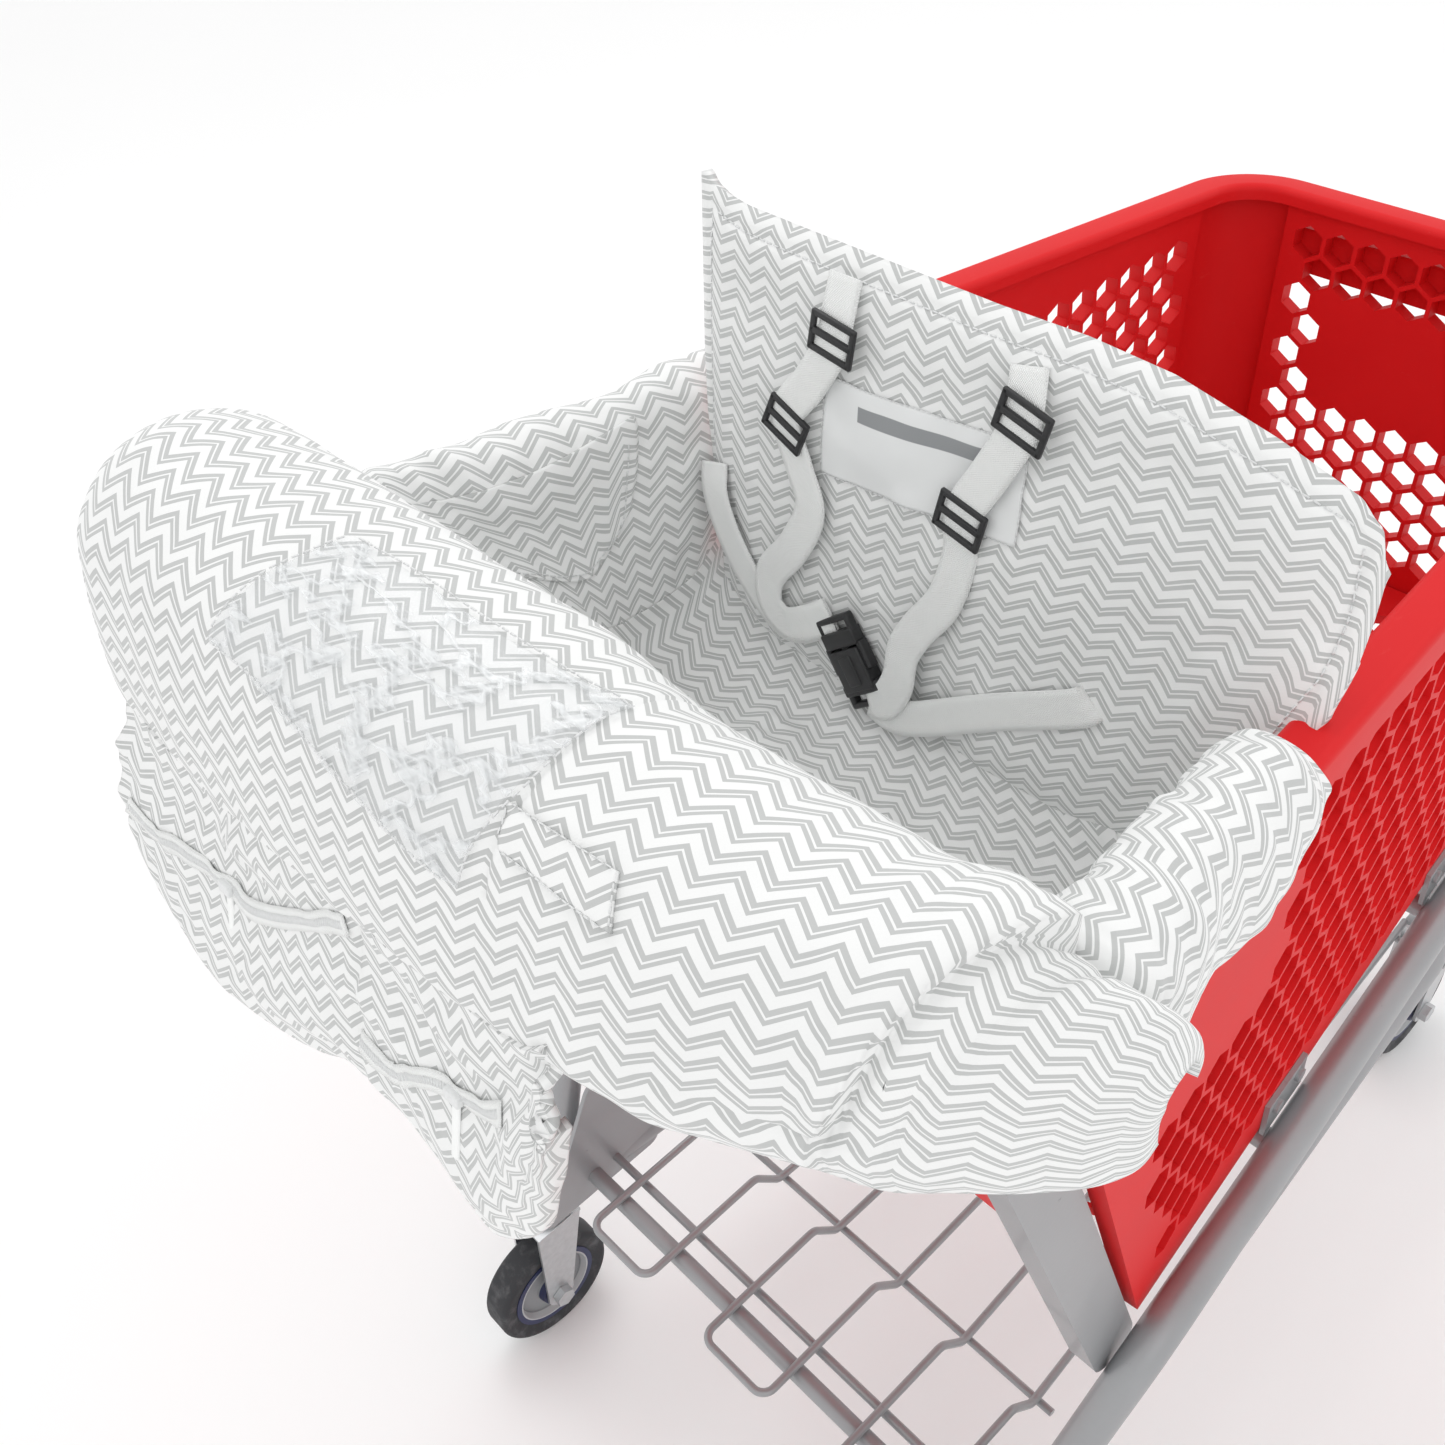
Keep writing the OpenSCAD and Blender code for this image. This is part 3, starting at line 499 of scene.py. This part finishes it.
def boxes(name, centres, along, up, size, material):
    """Small boxes sized (along, across, up) in one mesh, each turned to its own axes."""
    along = along / np.linalg.norm(along, axis=1, keepdims=True)
    across = np.cross(up, along)
    across = across / np.linalg.norm(across, axis=1, keepdims=True)
    up = np.cross(along, across)
    corner = np.array([[x, y, z] for z in (-0.5, 0.5) for y in (-0.5, 0.5) for x in (-0.5, 0.5)])
    sizes = np.broadcast_to(np.asarray(size, float), (len(centres), 3))
    axes = np.stack([along, across, up], axis=1)
    points = centres[:, None, :] + np.einsum("nkc,nca->nka", corner * sizes[:, None, :], axes)
    side = np.array([[0, 2, 3, 1], [4, 5, 7, 6], [0, 1, 5, 4], [2, 6, 7, 3], [0, 4, 6, 2], [1, 3, 7, 5]])
    faces = (np.arange(len(centres))[:, None, None] * 8 + side).reshape(-1, 4)
    return mesh_object(name, metres(points.reshape(-1, 3)), faces, material)


def stitches(name, grid, points, material, pitch=6.0, lift=0.5, size=(4.0, 0.9, 0.7)):
    """Thread dashes at an even pitch along a curve laid on a grid through the given points."""
    place = through(nearest(grid, points), 400)
    path = sample(grid, place)
    step = np.r_[0, np.cumsum(np.linalg.norm(np.diff(path, axis=0), axis=1))]
    want = np.arange(pitch, step[-1] - pitch, pitch)
    at = np.stack([np.interp(want, step, place[:, k]) for k in range(2)], axis=1)
    ahead = np.stack([np.interp(want + 1.5, step, place[:, k]) for k in range(2)], axis=1)
    centre = sample(grid, at)
    up = sample(normals_of(grid), at)
    return boxes(name, centre + up * lift, sample(grid, ahead) - centre, up, size, material)


def hood(x, front, back, low, top, close=1.0):
    """The roll's section: a hood from its front hem over the crest to its rear hem. Its shape is a
    set of shares of its width and height; close draws it in about a point under the crest."""
    share = np.array([0.05, 0, 0.037, 0.207, 0.451, 0.683, 0.86, 0.939, 0.982, 1.0, 0.963])
    fall = np.array([88, 61, 28, 7, 0, 8, 32, 68]) * (top - 940) / 96
    y = front + (back - front) * share
    z = np.r_[top - fall, (top - fall[-1] + low + 18) / 2, low + 18 * (top - 940) / 96, low]
    core = np.array([-66 if top > 1030 else (front + back) / 2, 960 if top > 1030 else 946])
    yz = core + (np.stack([y, z], axis=1) - core) * close
    return np.column_stack([np.full(len(y), float(x)), yz])


roll_grid = skin([hood(-345, 12, -150, 866, 1036, 0.1), hood(-342, 12, -150, 866, 1036, 0.6),
    hood(-332, 12, -150, 866, 1036, 0.88), hood(-312, 12, -150, 866, 1036, 0.98),
    hood(-270, 12, -150, 864, 1036), hood(-190, 12, -151, 860, 1037), hood(-110, 10, -151, 880, 1036),
    hood(-40, 10, -151, 884, 1036), hood(40, 11, -151, 897, 1036), hood(110, 12, -149, 915, 1036),
    hood(150, 12, -144, 924, 1036), hood(190, 11, -134, 930, 1036), hood(228, 10, -118, 934, 1036),
    hood(262, 11, -104, 936, 1038), hood(284, 15, -84, 930, 1014), hood(304, 24, -54, 916, 1000),
    hood(317, 33, -26, 904, 984), hood(325, 37, -10, 900, 972, 0.96),
    hood(330, 37, -8, 902, 970, 0.8), hood(332, 37, -8, 902, 970, 0.55)], 330, 140)
cross = np.linspace(0, 1, 140)[None, :]
fold_x = 276 - 26 * np.clip((cross - 0.25) / 0.65, 0, 1) ** 1.5
past = roll_grid[..., 0] - fold_x
fold = np.where(past < 0, 12.0 * np.exp(past / 45), -0.5 * np.exp(-past / 30))
fold = fold * np.tanh(np.abs(past))


def groove(distance, half_width):
    """A valley of depth one: the bell curve of distance over half_width."""
    return -np.exp(-((distance / half_width) ** 2))


second = (2.5 * groove(past - 15 - 6 * cross, 2.4) + 4 * groove(past - 2.5, 2.2)
    + 1.6 * groove(past + 14, 4))
near_hem = np.clip(cross * 6, 0, 1) * np.clip((1 - cross) * 5, 0, 1)
fold, second = fold * near_hem, second * near_hem
seam = 1.8 * groove(roll_grid[..., 0] - 74, 2.2) * (cross > 0.18) * (cross < 0.72)
relief = ripples(fold.shape, 3, (8, 5), 2.0) + ripples(fold.shape, 4, (30, 14), 0.6)
inside = np.clip((345 - np.abs(roll_grid[..., 0])) / 50, 0, 1)
roll_grid = roll_grid + normals_of(roll_grid) * (fold + second + seam + relief * inside)[..., None]
roll = sheet_mesh("cover_roll_fabric", roll_grid, fabric, turned=True, thickness=0.008)
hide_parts("cover_roll")
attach(roll, "cart")


# ---- Phone window on the roll
# A sheet of clear soft film sewn on the roll, open along one edge, with a fabric binding behind.
def thread():
    made, tree = finish("white thread")
    tone = mix(tree, noise(tree, place_of(tree), 500.0), (0.72, 0.73, 0.73, 1), (0.86, 0.87, 0.87, 1))
    shade(tree, bump=noise(tree, place_of(tree), 2500.0), strength=0.2, Base_Color=tone, Roughness=0.6)
    return made


def clear_film():
    """Creases in the film are ridges of a noise stretched one way; they tilt the normal, and along their
    lines the film is also painted near-white and more opaque: painted highlight streaks that stand in for
    reflections, on top of the real gloss of the coat.
    """
    made, tree = finish("clear film")
    where = node(tree, "ShaderNodeMapping", {}, {0: place_of(tree), 2: (0, 0, 0.5), 3: (16, 46, 20)})
    crease = (noise(tree, where, 1.0, 3.0, 0.6) - 0.5).abs().ramp(0.0, 0.05)
    # Painted highlight: where the crease mask is near zero the colour is near-white and the alpha rises to
    # 0.42, so the creases show as painted white reflection streaks.
    painted_streak_tint = mix(tree, crease, (0.93, 0.95, 0.96, 1), (0.86, 0.88, 0.9, 1))
    shade(tree, bump=crease, strength=0.35, distance=0.003, Base_Color=painted_streak_tint, Roughness=0.06 + crease * 0.05,
        Alpha=0.42 - crease * 0.34, Coat_Weight=0.6)
    return made


sewing = thread()
film = clear_film()
window_corners = [(-160, -137, 1010), (62, -146, 990), (80, -40, 1032), (-132, -50, 1034)]
window_grid = patch(roll_grid, window_corners, 60, 90, 2.2)
window = sheet_mesh("window_film", window_grid, film, thickness=0.0006)
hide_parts("phone_window")
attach(window, "cart")
ring = [(-160, -137, 1010), (-50, -142, 1001), (62, -146, 990), (72, -95, 1025), (80, -40, 1032),
    (-30, -45, 1034), (-132, -50, 1034), (-148, -95, 1030), (-160, -137, 1010)]
for number, (a, b) in enumerate(zip(ring[::2], ring[2::2])):
    middle = ring[number * 2 + 1]
    row = stitches("window_stitches_%d" % number, roll_grid, [a, middle, b], sewing, lift=2.6)
    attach(row, "cart")
loop_corners = [(80, -124, 1016), (150, -117, 1014), (138, -98, 1024), (70, -106, 1024)]
loop = sheet_mesh("roll_loop", patch(roll_grid, loop_corners, 24, 40, 2.6), fabric, thickness=0.0022)
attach(loop, "cart")
for number in range(4):
    ends = [loop_corners[number], loop_corners[(number + 1) % 4]]
    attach(stitches("loop_stitches_%d" % number, roll_grid, ends, sewing, pitch=4.5, lift=3.2,
        size=(3.0, 0.7, 0.6)), "cart")


# ---- Seat hollow and wings
# Padded fabric slung from the roll down on to the folding pan, and brought up each side over the
# basket's rim to hang outside it. The three panels are sewn together along the seat's sides.
def rim_x(y):
    return 283 - 0.1008 * y


def rim_z(y):
    return 953 - 0.0882 * y


def hollow(places, seat_z, rise, left, right, drop):
    """One run of cloth from the left hem to the right hem. places are its distances along the cart
    at the left rim, the seat and the right rim; left and right are heights over the rim."""
    yl, yc, yr = places
    wl, tl, wr, tr = rim_x(yl), rim_z(yl), rim_x(yr), rim_z(yr)
    s = seat_z
    return [(-wl - 14, yl, tl - 46), (-wl - 17, yl, tl - 18), (-wl - 14, yl, tl + left * 0.6),
        (-wl + 1, yl, tl + left + 4), (-wl + 18, yl, tl + left + 1), (-wl + 31, yl, tl + left - 20),
        (-wl + 40, yl * 0.5 + yc * 0.5, (tl + s) / 2 + rise * 0.3), (-216, yl * 0.2 + yc * 0.8, s + rise),
        (-184, yc, s + 5), (-90, yc, s), (0, yc, s + 1), (90, yc, s), (180, yc, s + 5),
        (212, yr * 0.2 + yc * 0.8, s + rise), (wr - 44, yr * 0.5 + yc * 0.5, (tr + s) / 2 + rise * 0.3),
        (wr - 40, yr, tr - 24 + right * 0.3), (wr - 31, yr, tr + right * 0.55), (wr - 14, yr, tr + right),
        (wr + 6, yr, tr + right), (wr + 21, yr, tr + right * 0.4), (wr + 23, yr, tr - drop * 0.5),
        (wr + 17, yr, tr - drop)]


hollow_rows, hollow_cols = 210, 420
hollow_grid = skin([hollow((-6, 0, -4), 957, 3, 22, 8, 70), hollow((28, 46, 26), 914, 14, 20, 26, 92),
    hollow((72, 92, 60), 850, 22, 14, 34, 92), hollow((122, 126, 92), 800, 26, 9, 36, 66),
    hollow((174, 154, 124), 768, 26, 8, 36, 50), hollow((226, 184, 152), 757, 26, 8, 36, 38),
    hollow((280, 216, 180), 758, 28, 7, 32, 22), hollow((328, 244, 206), 784, 30, 7, 14, 8)],
    hollow_rows, hollow_cols)
v, u = np.meshgrid(np.linspace(0, 1, hollow_rows), np.linspace(0, 1, hollow_cols), indexing="ij")
relief = ripples(u.shape, 8, (7, 18), 3.0) + ripples(u.shape, 9, (22, 60), 0.9)
crease = -5 * np.exp(-(((v - 0.52 - 0.04 * np.sin(9 * u)) / 0.012) ** 2)) * (np.abs(u - 0.5) < 0.2)
gathers = ripples(u.shape, 10, (46, 70), 2.4) * np.exp(-((v / 0.13) ** 2)) * (np.abs(u - 0.5) > 0.2)
relief = (relief + crease + gathers) * np.clip(v * 12, 0, 1)
hollow_grid = hollow_grid + normals_of(hollow_grid) * relief[..., None]
across = hollow_grid[hollow_rows // 2, :, 0]
middle = hollow_cols // 2
left_cut = int(np.argmin(np.abs(across[:middle] + 208)))
right_cut = int(middle + np.argmin(np.abs(across[middle:] - 206)))

seat = sheet_mesh("seat_cloth", hollow_grid[:, left_cut:right_cut + 1], fabric, thickness=0.006)
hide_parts("cover_apron", "seat_pad")
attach(seat, "gate")
left_wing = sheet_mesh("left_wing_fabric", hollow_grid[:, :left_cut + 1], fabric, turned=True,
    thickness=0.005)
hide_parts("wing_left")
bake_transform(left_wing)
right_wing = sheet_mesh("right_wing_fabric", hollow_grid[:, right_cut:], fabric, turned=True,
    thickness=0.006)
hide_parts("wing_right")
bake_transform(right_wing)
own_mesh(seat)


# ---- Left inner panel
# A second layer of the printed fabric with a rounded lower edge, sewn inside the left wing.
panel_corners = [(-252, 14, 958), (-226, 40, 900), (-224, 178, 838), (-240, 212, 934)]
a, b, c, d = nearest(hollow_grid, panel_corners)
v, u = np.meshgrid(np.linspace(0, 1, 90), np.linspace(0, 1, 60), indexing="ij")
u = u * (1 - 0.42 * np.clip((v - 0.72) / 0.28, 0, 1) ** 2)
v, u = v[..., None], u[..., None]
place = (a * (1 - u) + b * u) * (1 - v) + (d * (1 - u) + c * u) * v
panel_grid = sample(hollow_grid, place) + sample(normals_of(hollow_grid), place) * 2.6
panel = sheet_mesh("left_inner_panel", panel_grid, fabric, turned=True, thickness=0.0025)
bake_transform(panel)
edge = [panel_grid[i, j] for i, j in [(8, 56), (45, 56), (65, 56), (78, 56), (86, 56), (86, 30), (86, 6)]]
panel_row = stitches("panel_stitches", panel_grid, edge, sewing)
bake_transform(panel_row)


# ---- Padded back
# Two layers of printed fabric over a thin pad, hemmed all round with a sewn line. Its right edge
# is drawn forward to the wing.
def back_face(z, off):
    """Y of the back's surface at height z, off millimetres in front of the moulded seat back."""
    return 250 + (z - 740) * 35 / 296 - off


def back_surface(rows, cols):
    """Rows run from the crease to the top edge. The pad's thickness dies away at the border by a
    power of the distance from the middle, and the right edge comes forward by a raised cosine."""
    v, u = np.meshgrid(np.linspace(0, 1, rows), np.linspace(-1, 1, cols), indexing="ij")
    left = np.interp(v, [0, 0.3, 0.45, 0.6, 1.0], [-204, -214, -220, -222, -222])
    right = np.interp(v, [0, 0.25, 0.4, 0.52, 0.68, 0.8, 1.0], [205, 226, 234, 243, 256, 259, 257])
    x = left + (right - left) * (u + 1) / 2
    top = np.interp(u, [-1, -0.96, -0.82, -0.6, 0, 0.24, 0.46, 0.71, 0.91, 0.97, 1],
        [1083, 1078, 1073, 1072, 1070, 1071, 1068, 1056, 1043, 1030, 1008])
    z = 762 + 26 * np.abs(u) ** 4 + (top - 762 - 26 * np.abs(u) ** 4) * v
    puff = (1 - np.abs(u) ** 8) * (1 - np.abs(2 * v - 1) ** 12)
    forward = 26 * np.clip((u - 0.62) / 0.38, 0, 1) ** 2 * np.exp(-(((z - 915) / 48) ** 2))
    y = back_face(z, 8 + 15 * puff) - forward
    return np.stack([x, y, z], axis=2), puff


back_grid, puff = back_surface(150, 210)
relief = ripples(puff.shape, 41, (6, 8), 2.4) + ripples(puff.shape, 42, (16, 24), 0.8)
hem = 1 - np.exp(-((np.minimum(np.minimum(back_grid[..., 0] + 222, 257 - back_grid[..., 0]),
    back_grid[-1:, :, 2] - back_grid[..., 2]) - 11) / 2.2) ** 2)
back_grid = back_grid + normals_of(back_grid) * (relief * puff - 1.6 * (1 - hem))[..., None]
back_panel = sheet_mesh("back_pad_fabric", back_grid, fabric, thickness=0.009)
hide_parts("back_pad")
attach(back_panel, "seat_back")
left_seam = [back_grid[i, j] for i, j in [(60, 6), (100, 5), (143, 7)]]
top_seam = [back_grid[143, j] for j in (7, 50, 100, 150, 190, 203)]
right_seam = [back_grid[i, j] for i, j in [(143, 203), (120, 204), (90, 204), (62, 203)]]
for name, points in (("left", left_seam), ("top", top_seam), ("right", right_seam)):
    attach(stitches("back_stitches_" + name, back_grid, points, sewing), "seat_back")


# ---- Sewn-on tag
# A blank white satin tag stitched to the back between the shoulder straps.
def satin(name):
    """A satin tag with one plain grey bar near its top edge; the bar is a band of the tag's V."""
    made, tree = finish(name)
    u = cloth_place(tree, "X")
    v = cloth_place(tree, "Y")
    high = v.ramp(0.044, 0.0445) - v.ramp(0.054, 0.0545)
    wide = u.ramp(0.03, 0.0305) - u.ramp(0.125, 0.1255)
    bar = high * wide
    tone = mix(tree, bar, (0.84, 0.85, 0.85, 1), (0.3, 0.31, 0.32, 1))
    shade(tree, bump=noise(tree, place_of(tree), 2200.0), strength=0.1, distance=0.0002, Base_Color=tone,
        Roughness=0.5 + bar * 0.1)
    return made


tag_corners = [(-98, 252, 930), (58, 254, 945), (53, 262, 1009), (-96, 260, 996)]
tag = sheet_mesh("back_tag", patch(back_grid, tag_corners, 30, 70, 1.4), satin("satin tag"),
    thickness=0.0006)
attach(tag, "seat_back")
for number in range(4):
    ends = [tag_corners[number], tag_corners[(number + 1) % 4]]
    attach(stitches("tag_stitches_%d" % number, back_grid, ends, sewing, pitch=4.0, lift=1.7,
        size=(2.6, 0.6, 0.5)), "seat_back")


# ---- Harness straps
# White polypropylene webbing, sewn into the pad's seams, with black nylon tri-glides on it.
def webbing_finish():
    """Woven tape: ribs across it are a sine of V, and the two selvedges a power of U."""
    made, tree = finish("white webbing")
    u = cloth_place(tree, "X") * 4200.0
    v = cloth_place(tree, "Y") * 3600.0
    weave = u.math("SINE") * v.math("SINE")
    cloud = noise(tree, place_of(tree), 40.0)
    tone = mix(tree, cloud, (0.90, 0.91, 0.90, 1), (0.95, 0.96, 0.95, 1))
    tone = mix(tree, weave.ramp(0.1, 0.9) * 0.25, tone, (0.76, 0.77, 0.76, 1))
    shade(tree, bump=weave, strength=0.5, distance=0.0005, Base_Color=tone, Roughness=0.62 + cloud * 0.1)
    return made


BACK_LEAN = 0.118  # how far the seat back leans towards the nose in one unit of height


def ribbon(name, points, width, material, thickness=0.0017, up=(0, -1, BACK_LEAN)):
    """A tape whose centre line is a curve through points, lying square to up at each point."""
    path = through(points, 90)
    along = np.gradient(path, axis=0)
    side = np.cross(np.asarray(up, float), along)
    side /= np.linalg.norm(side, axis=1, keepdims=True)
    share = np.linspace(-0.5, 0.5, 7)[None, :, None]
    grid = path[:, None, :] + side[:, None, :] * share * width
    return sheet_mesh(name, grid, material, thickness=thickness)


def lying(points):
    """Points given across, up and off the seat back, as points along the cart."""
    return [(x, back_face(z, off), z) for x, z, off in points]


webbing = webbing_finish()
straps = {
    "left_shoulder": [(-84, 1062, 21), (-84, 1040, 27), (-86, 1022, 29), (-104, 992, 28), (-124, 962, 28),
        (-113, 932, 27), (-101, 905, 28), (-114, 872, 29), (-135, 842, 29), (-134, 820, 30), (-116, 812, 31),
        (-96, 822, 30), (-80, 834, 28)],
    "right_shoulder": [(50, 1052, 21), (54, 1034, 27), (52, 1016, 29), (36, 984, 28), (20, 952, 28),
        (21, 925, 27), (13, 890, 28), (-4, 862, 29), (-14, 840, 30), (-16, 815, 31), (-26, 794, 31),
        (-40, 787, 30)],
    "right_waist": [(120, 868, 20), (112, 862, 25), (59, 831, 27), (4, 796, 29), (-22, 784, 29),
        (-40, 786, 28)],
    "left_waist": [(-200, 896, 20), (-194, 876, 25), (-178, 848, 26), (-154, 822, 26), (-124, 806, 27),
        (-98, 818, 27), (-80, 833, 26)]}
for name, points in straps.items():
    strap = ribbon(name + "_strap", lying(points), 25, webbing)
    if name in ("left_shoulder", "right_shoulder"):
        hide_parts("shoulder_straps")
    if name == "left_waist":
        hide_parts("waist_strap")
    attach(strap, "seat_back")
for number, (x, z, off, lean) in enumerate([(-85, 1027, 29, 8), (-123, 958, 28, 22), (56, 1026, 29, 14),
        (20, 950, 28, 12)]):
    a = math.radians(lean)
    along = np.array([math.sin(a), BACK_LEAN * math.cos(a), math.cos(a)])
    face = np.array([0, -1, BACK_LEAN])
    side = np.cross(face, along)
    centre = np.array([x, back_face(z, off + 2.2), z])
    bars = np.array([(11, 0, 4, 35), (-11, 0, 4, 35), (0, 0, 4.5, 35), (0, 15.5, 26, 4), (0, -15.5, 26, 4)])
    at = centre + bars[:, :1] * along + bars[:, 1:2] * side
    size = np.column_stack([bars[:, 2:], np.full(len(bars), 3.2)])
    glide = boxes("glide_%d" % number, at, np.tile(along, (len(bars), 1)), np.tile(face, (len(bars), 1)),
        size, nylon)
    rounded(glide, 0.0011, 3)
    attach(glide, "seat_back")


# ---- Side release buckle
# Black moulded nylon: a hollow body with a bar for the right straps, and a tongue with two spring
# arms whose tips show at the body's sides. The tongue pulls out along its own length.
pull_way = np.array([-0.615661, 0.092532, 0.782559])
buckle_face = np.array([0, -0.993, 0.117])
buckle_middle = np.array([-56, back_face(806, 28), 806])
buckle_side = np.cross(buckle_face, pull_way)
buckle_parts = {
    "buckle_body": [(-2, 0, 0, 30, 30, 12.5), (-2, 0, 1, 22, 12, 13.5), (-16, 0, 0, 8, 36, 10),
        (-22, 15.5, 0, 10, 5, 7), (-22, -15.5, 0, 10, 5, 7), (-27, 0, 0, 4.5, 36, 7)],
    "buckle_tongue": [(20, 0, 0, 12, 33, 10), (6, 16.5, 0, 20, 5, 8), (6, -16.5, 0, 20, 5, 8),
        (8, 0, 0, 20, 7, 6), (29, 14.5, 0, 12, 4.5, 7), (29, -14.5, 0, 12, 4.5, 7), (34, 0, 0, 4.5, 33, 7)]}
for name, rows in buckle_parts.items():
    parts = np.array(rows, float)
    at = (buckle_middle + parts[:, :1] * pull_way + parts[:, 1:2] * buckle_side
        + parts[:, 2:3] * buckle_face)
    count = len(parts)
    piece = boxes(name + "_moulding", at, np.tile(pull_way, (count, 1)), np.tile(buckle_face, (count, 1)),
        parts[:, 3:], nylon)
    rounded(piece, 0.0016, 4)
    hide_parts(name)
    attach(piece, "seat_back" if name == "buckle_body" else "buckle_tongue")


# ---- Hanging pocket
# A zipped bag of the printed fabric sewn under the roll's rear hem on the parent's side. Its
# bottom sags in two lobes; each half has a zip of its own.
bag_x = np.array([-316, -262, -205, -145, -75, -12, 20, 50, 88, 113, 128])
bag_low = np.array([775, 718, 714, 723, 752, 772, 735, 713, 764, 822, 880])
bag_y = np.array([-172, -182, -182, -178, -171, -166, -165, -166, -161, -157, -151])
bag_top = np.array([886, 880, 878, 900, 908, 905, 908, 914, 922, 934, 948])
bag_rows = []
for share, out in [(0.0, -6), (0.02, 2), (0.10, 9), (0.30, 13), (0.55, 8), (0.80, 1), (1.0, -2)]:
    fall = bag_y * (1 - share) + -151 * share
    bag_rows.append(np.stack([bag_x, fall - out, bag_low + (bag_top - bag_low) * share], axis=1))
pocket_grid = skin(bag_rows, 150, 190)
size = pocket_grid.shape[:2]
relief = ripples(size, 51, (7, 9), 2.2) + ripples(size, 52, (18, 28), 0.7)
relief = relief + 4.0 * groove(pocket_grid[..., 0] + 42, 4) * np.linspace(0.2, 1, size[0])[:, None]
pocket_grid = pocket_grid + normals_of(pocket_grid) * relief[..., None]
pocket = sheet_mesh("pocket_fabric", pocket_grid, fabric, thickness=0.006)
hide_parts("cover_pocket")
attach(pocket, "cart")


# ---- Zips on the pocket
# White coil zips on a woven tape, each with a moulded slider and a cord pull.
def on_grid(grid, points, lift, count=90):
    """A curve laid on a grid through the given points and raised off it."""
    place = through(nearest(grid, points), count)
    up = sample(normals_of(grid), place)
    return sample(grid, place) + up * lift, up


zip_lines = {"left": [(-306, -170, 815), (-245, -172, 815), (-189, -174, 823), (-155, -172, 830),
    (-100, -168, 860), (-45, -162, 890)], "right": [(-38, -166, 812), (-8, -166, 818), (30, -166, 838),
    (88, -162, 868)]}
for name, points in zip_lines.items():
    path, up = on_grid(pocket_grid, points, 0.8)
    along = np.gradient(path, axis=0)
    side = np.cross(up, along)
    side /= np.linalg.norm(side, axis=1, keepdims=True)
    grid = path[:, None, :] + side[:, None, :] * np.linspace(-6.5, 6.5, 5)[None, :, None]
    tape = sheet_mesh("zip_tape_" + name, grid, webbing, thickness=0.0012)
    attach(tape, "cart")
    teeth = stitches("zip_coil_" + name, pocket_grid, points, sewing, pitch=1.9, lift=1.7,
        size=(1.1, 4.6, 1.8))
    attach(teeth, "cart")
    x = -187.0 if name == "left" else 43.0
    spot_on = path[np.argmin(np.abs(path[:, 0] - x))]
    pull = boxes("zip_slider_" + name, spot_on[None] + np.array([0, -3.0, 0]), np.array([[1.0, 0, 0]]),
        np.array([[0, -1.0, 0.2]]), (12, 8, 4.5), sewing)
    tab = boxes("zip_tab_" + name, spot_on[None] + np.array([0, -7.5, -24.0]), np.array([[0, -0.28, -1.0]]),
        np.array([[0, -1.0, 0.28]]), (42, 6, 2.2), webbing)
    for piece in (pull, tab):
        rounded(piece, 0.001, 3)
        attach(piece, "zip_" + name)
    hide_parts("zip_pull_" + name)
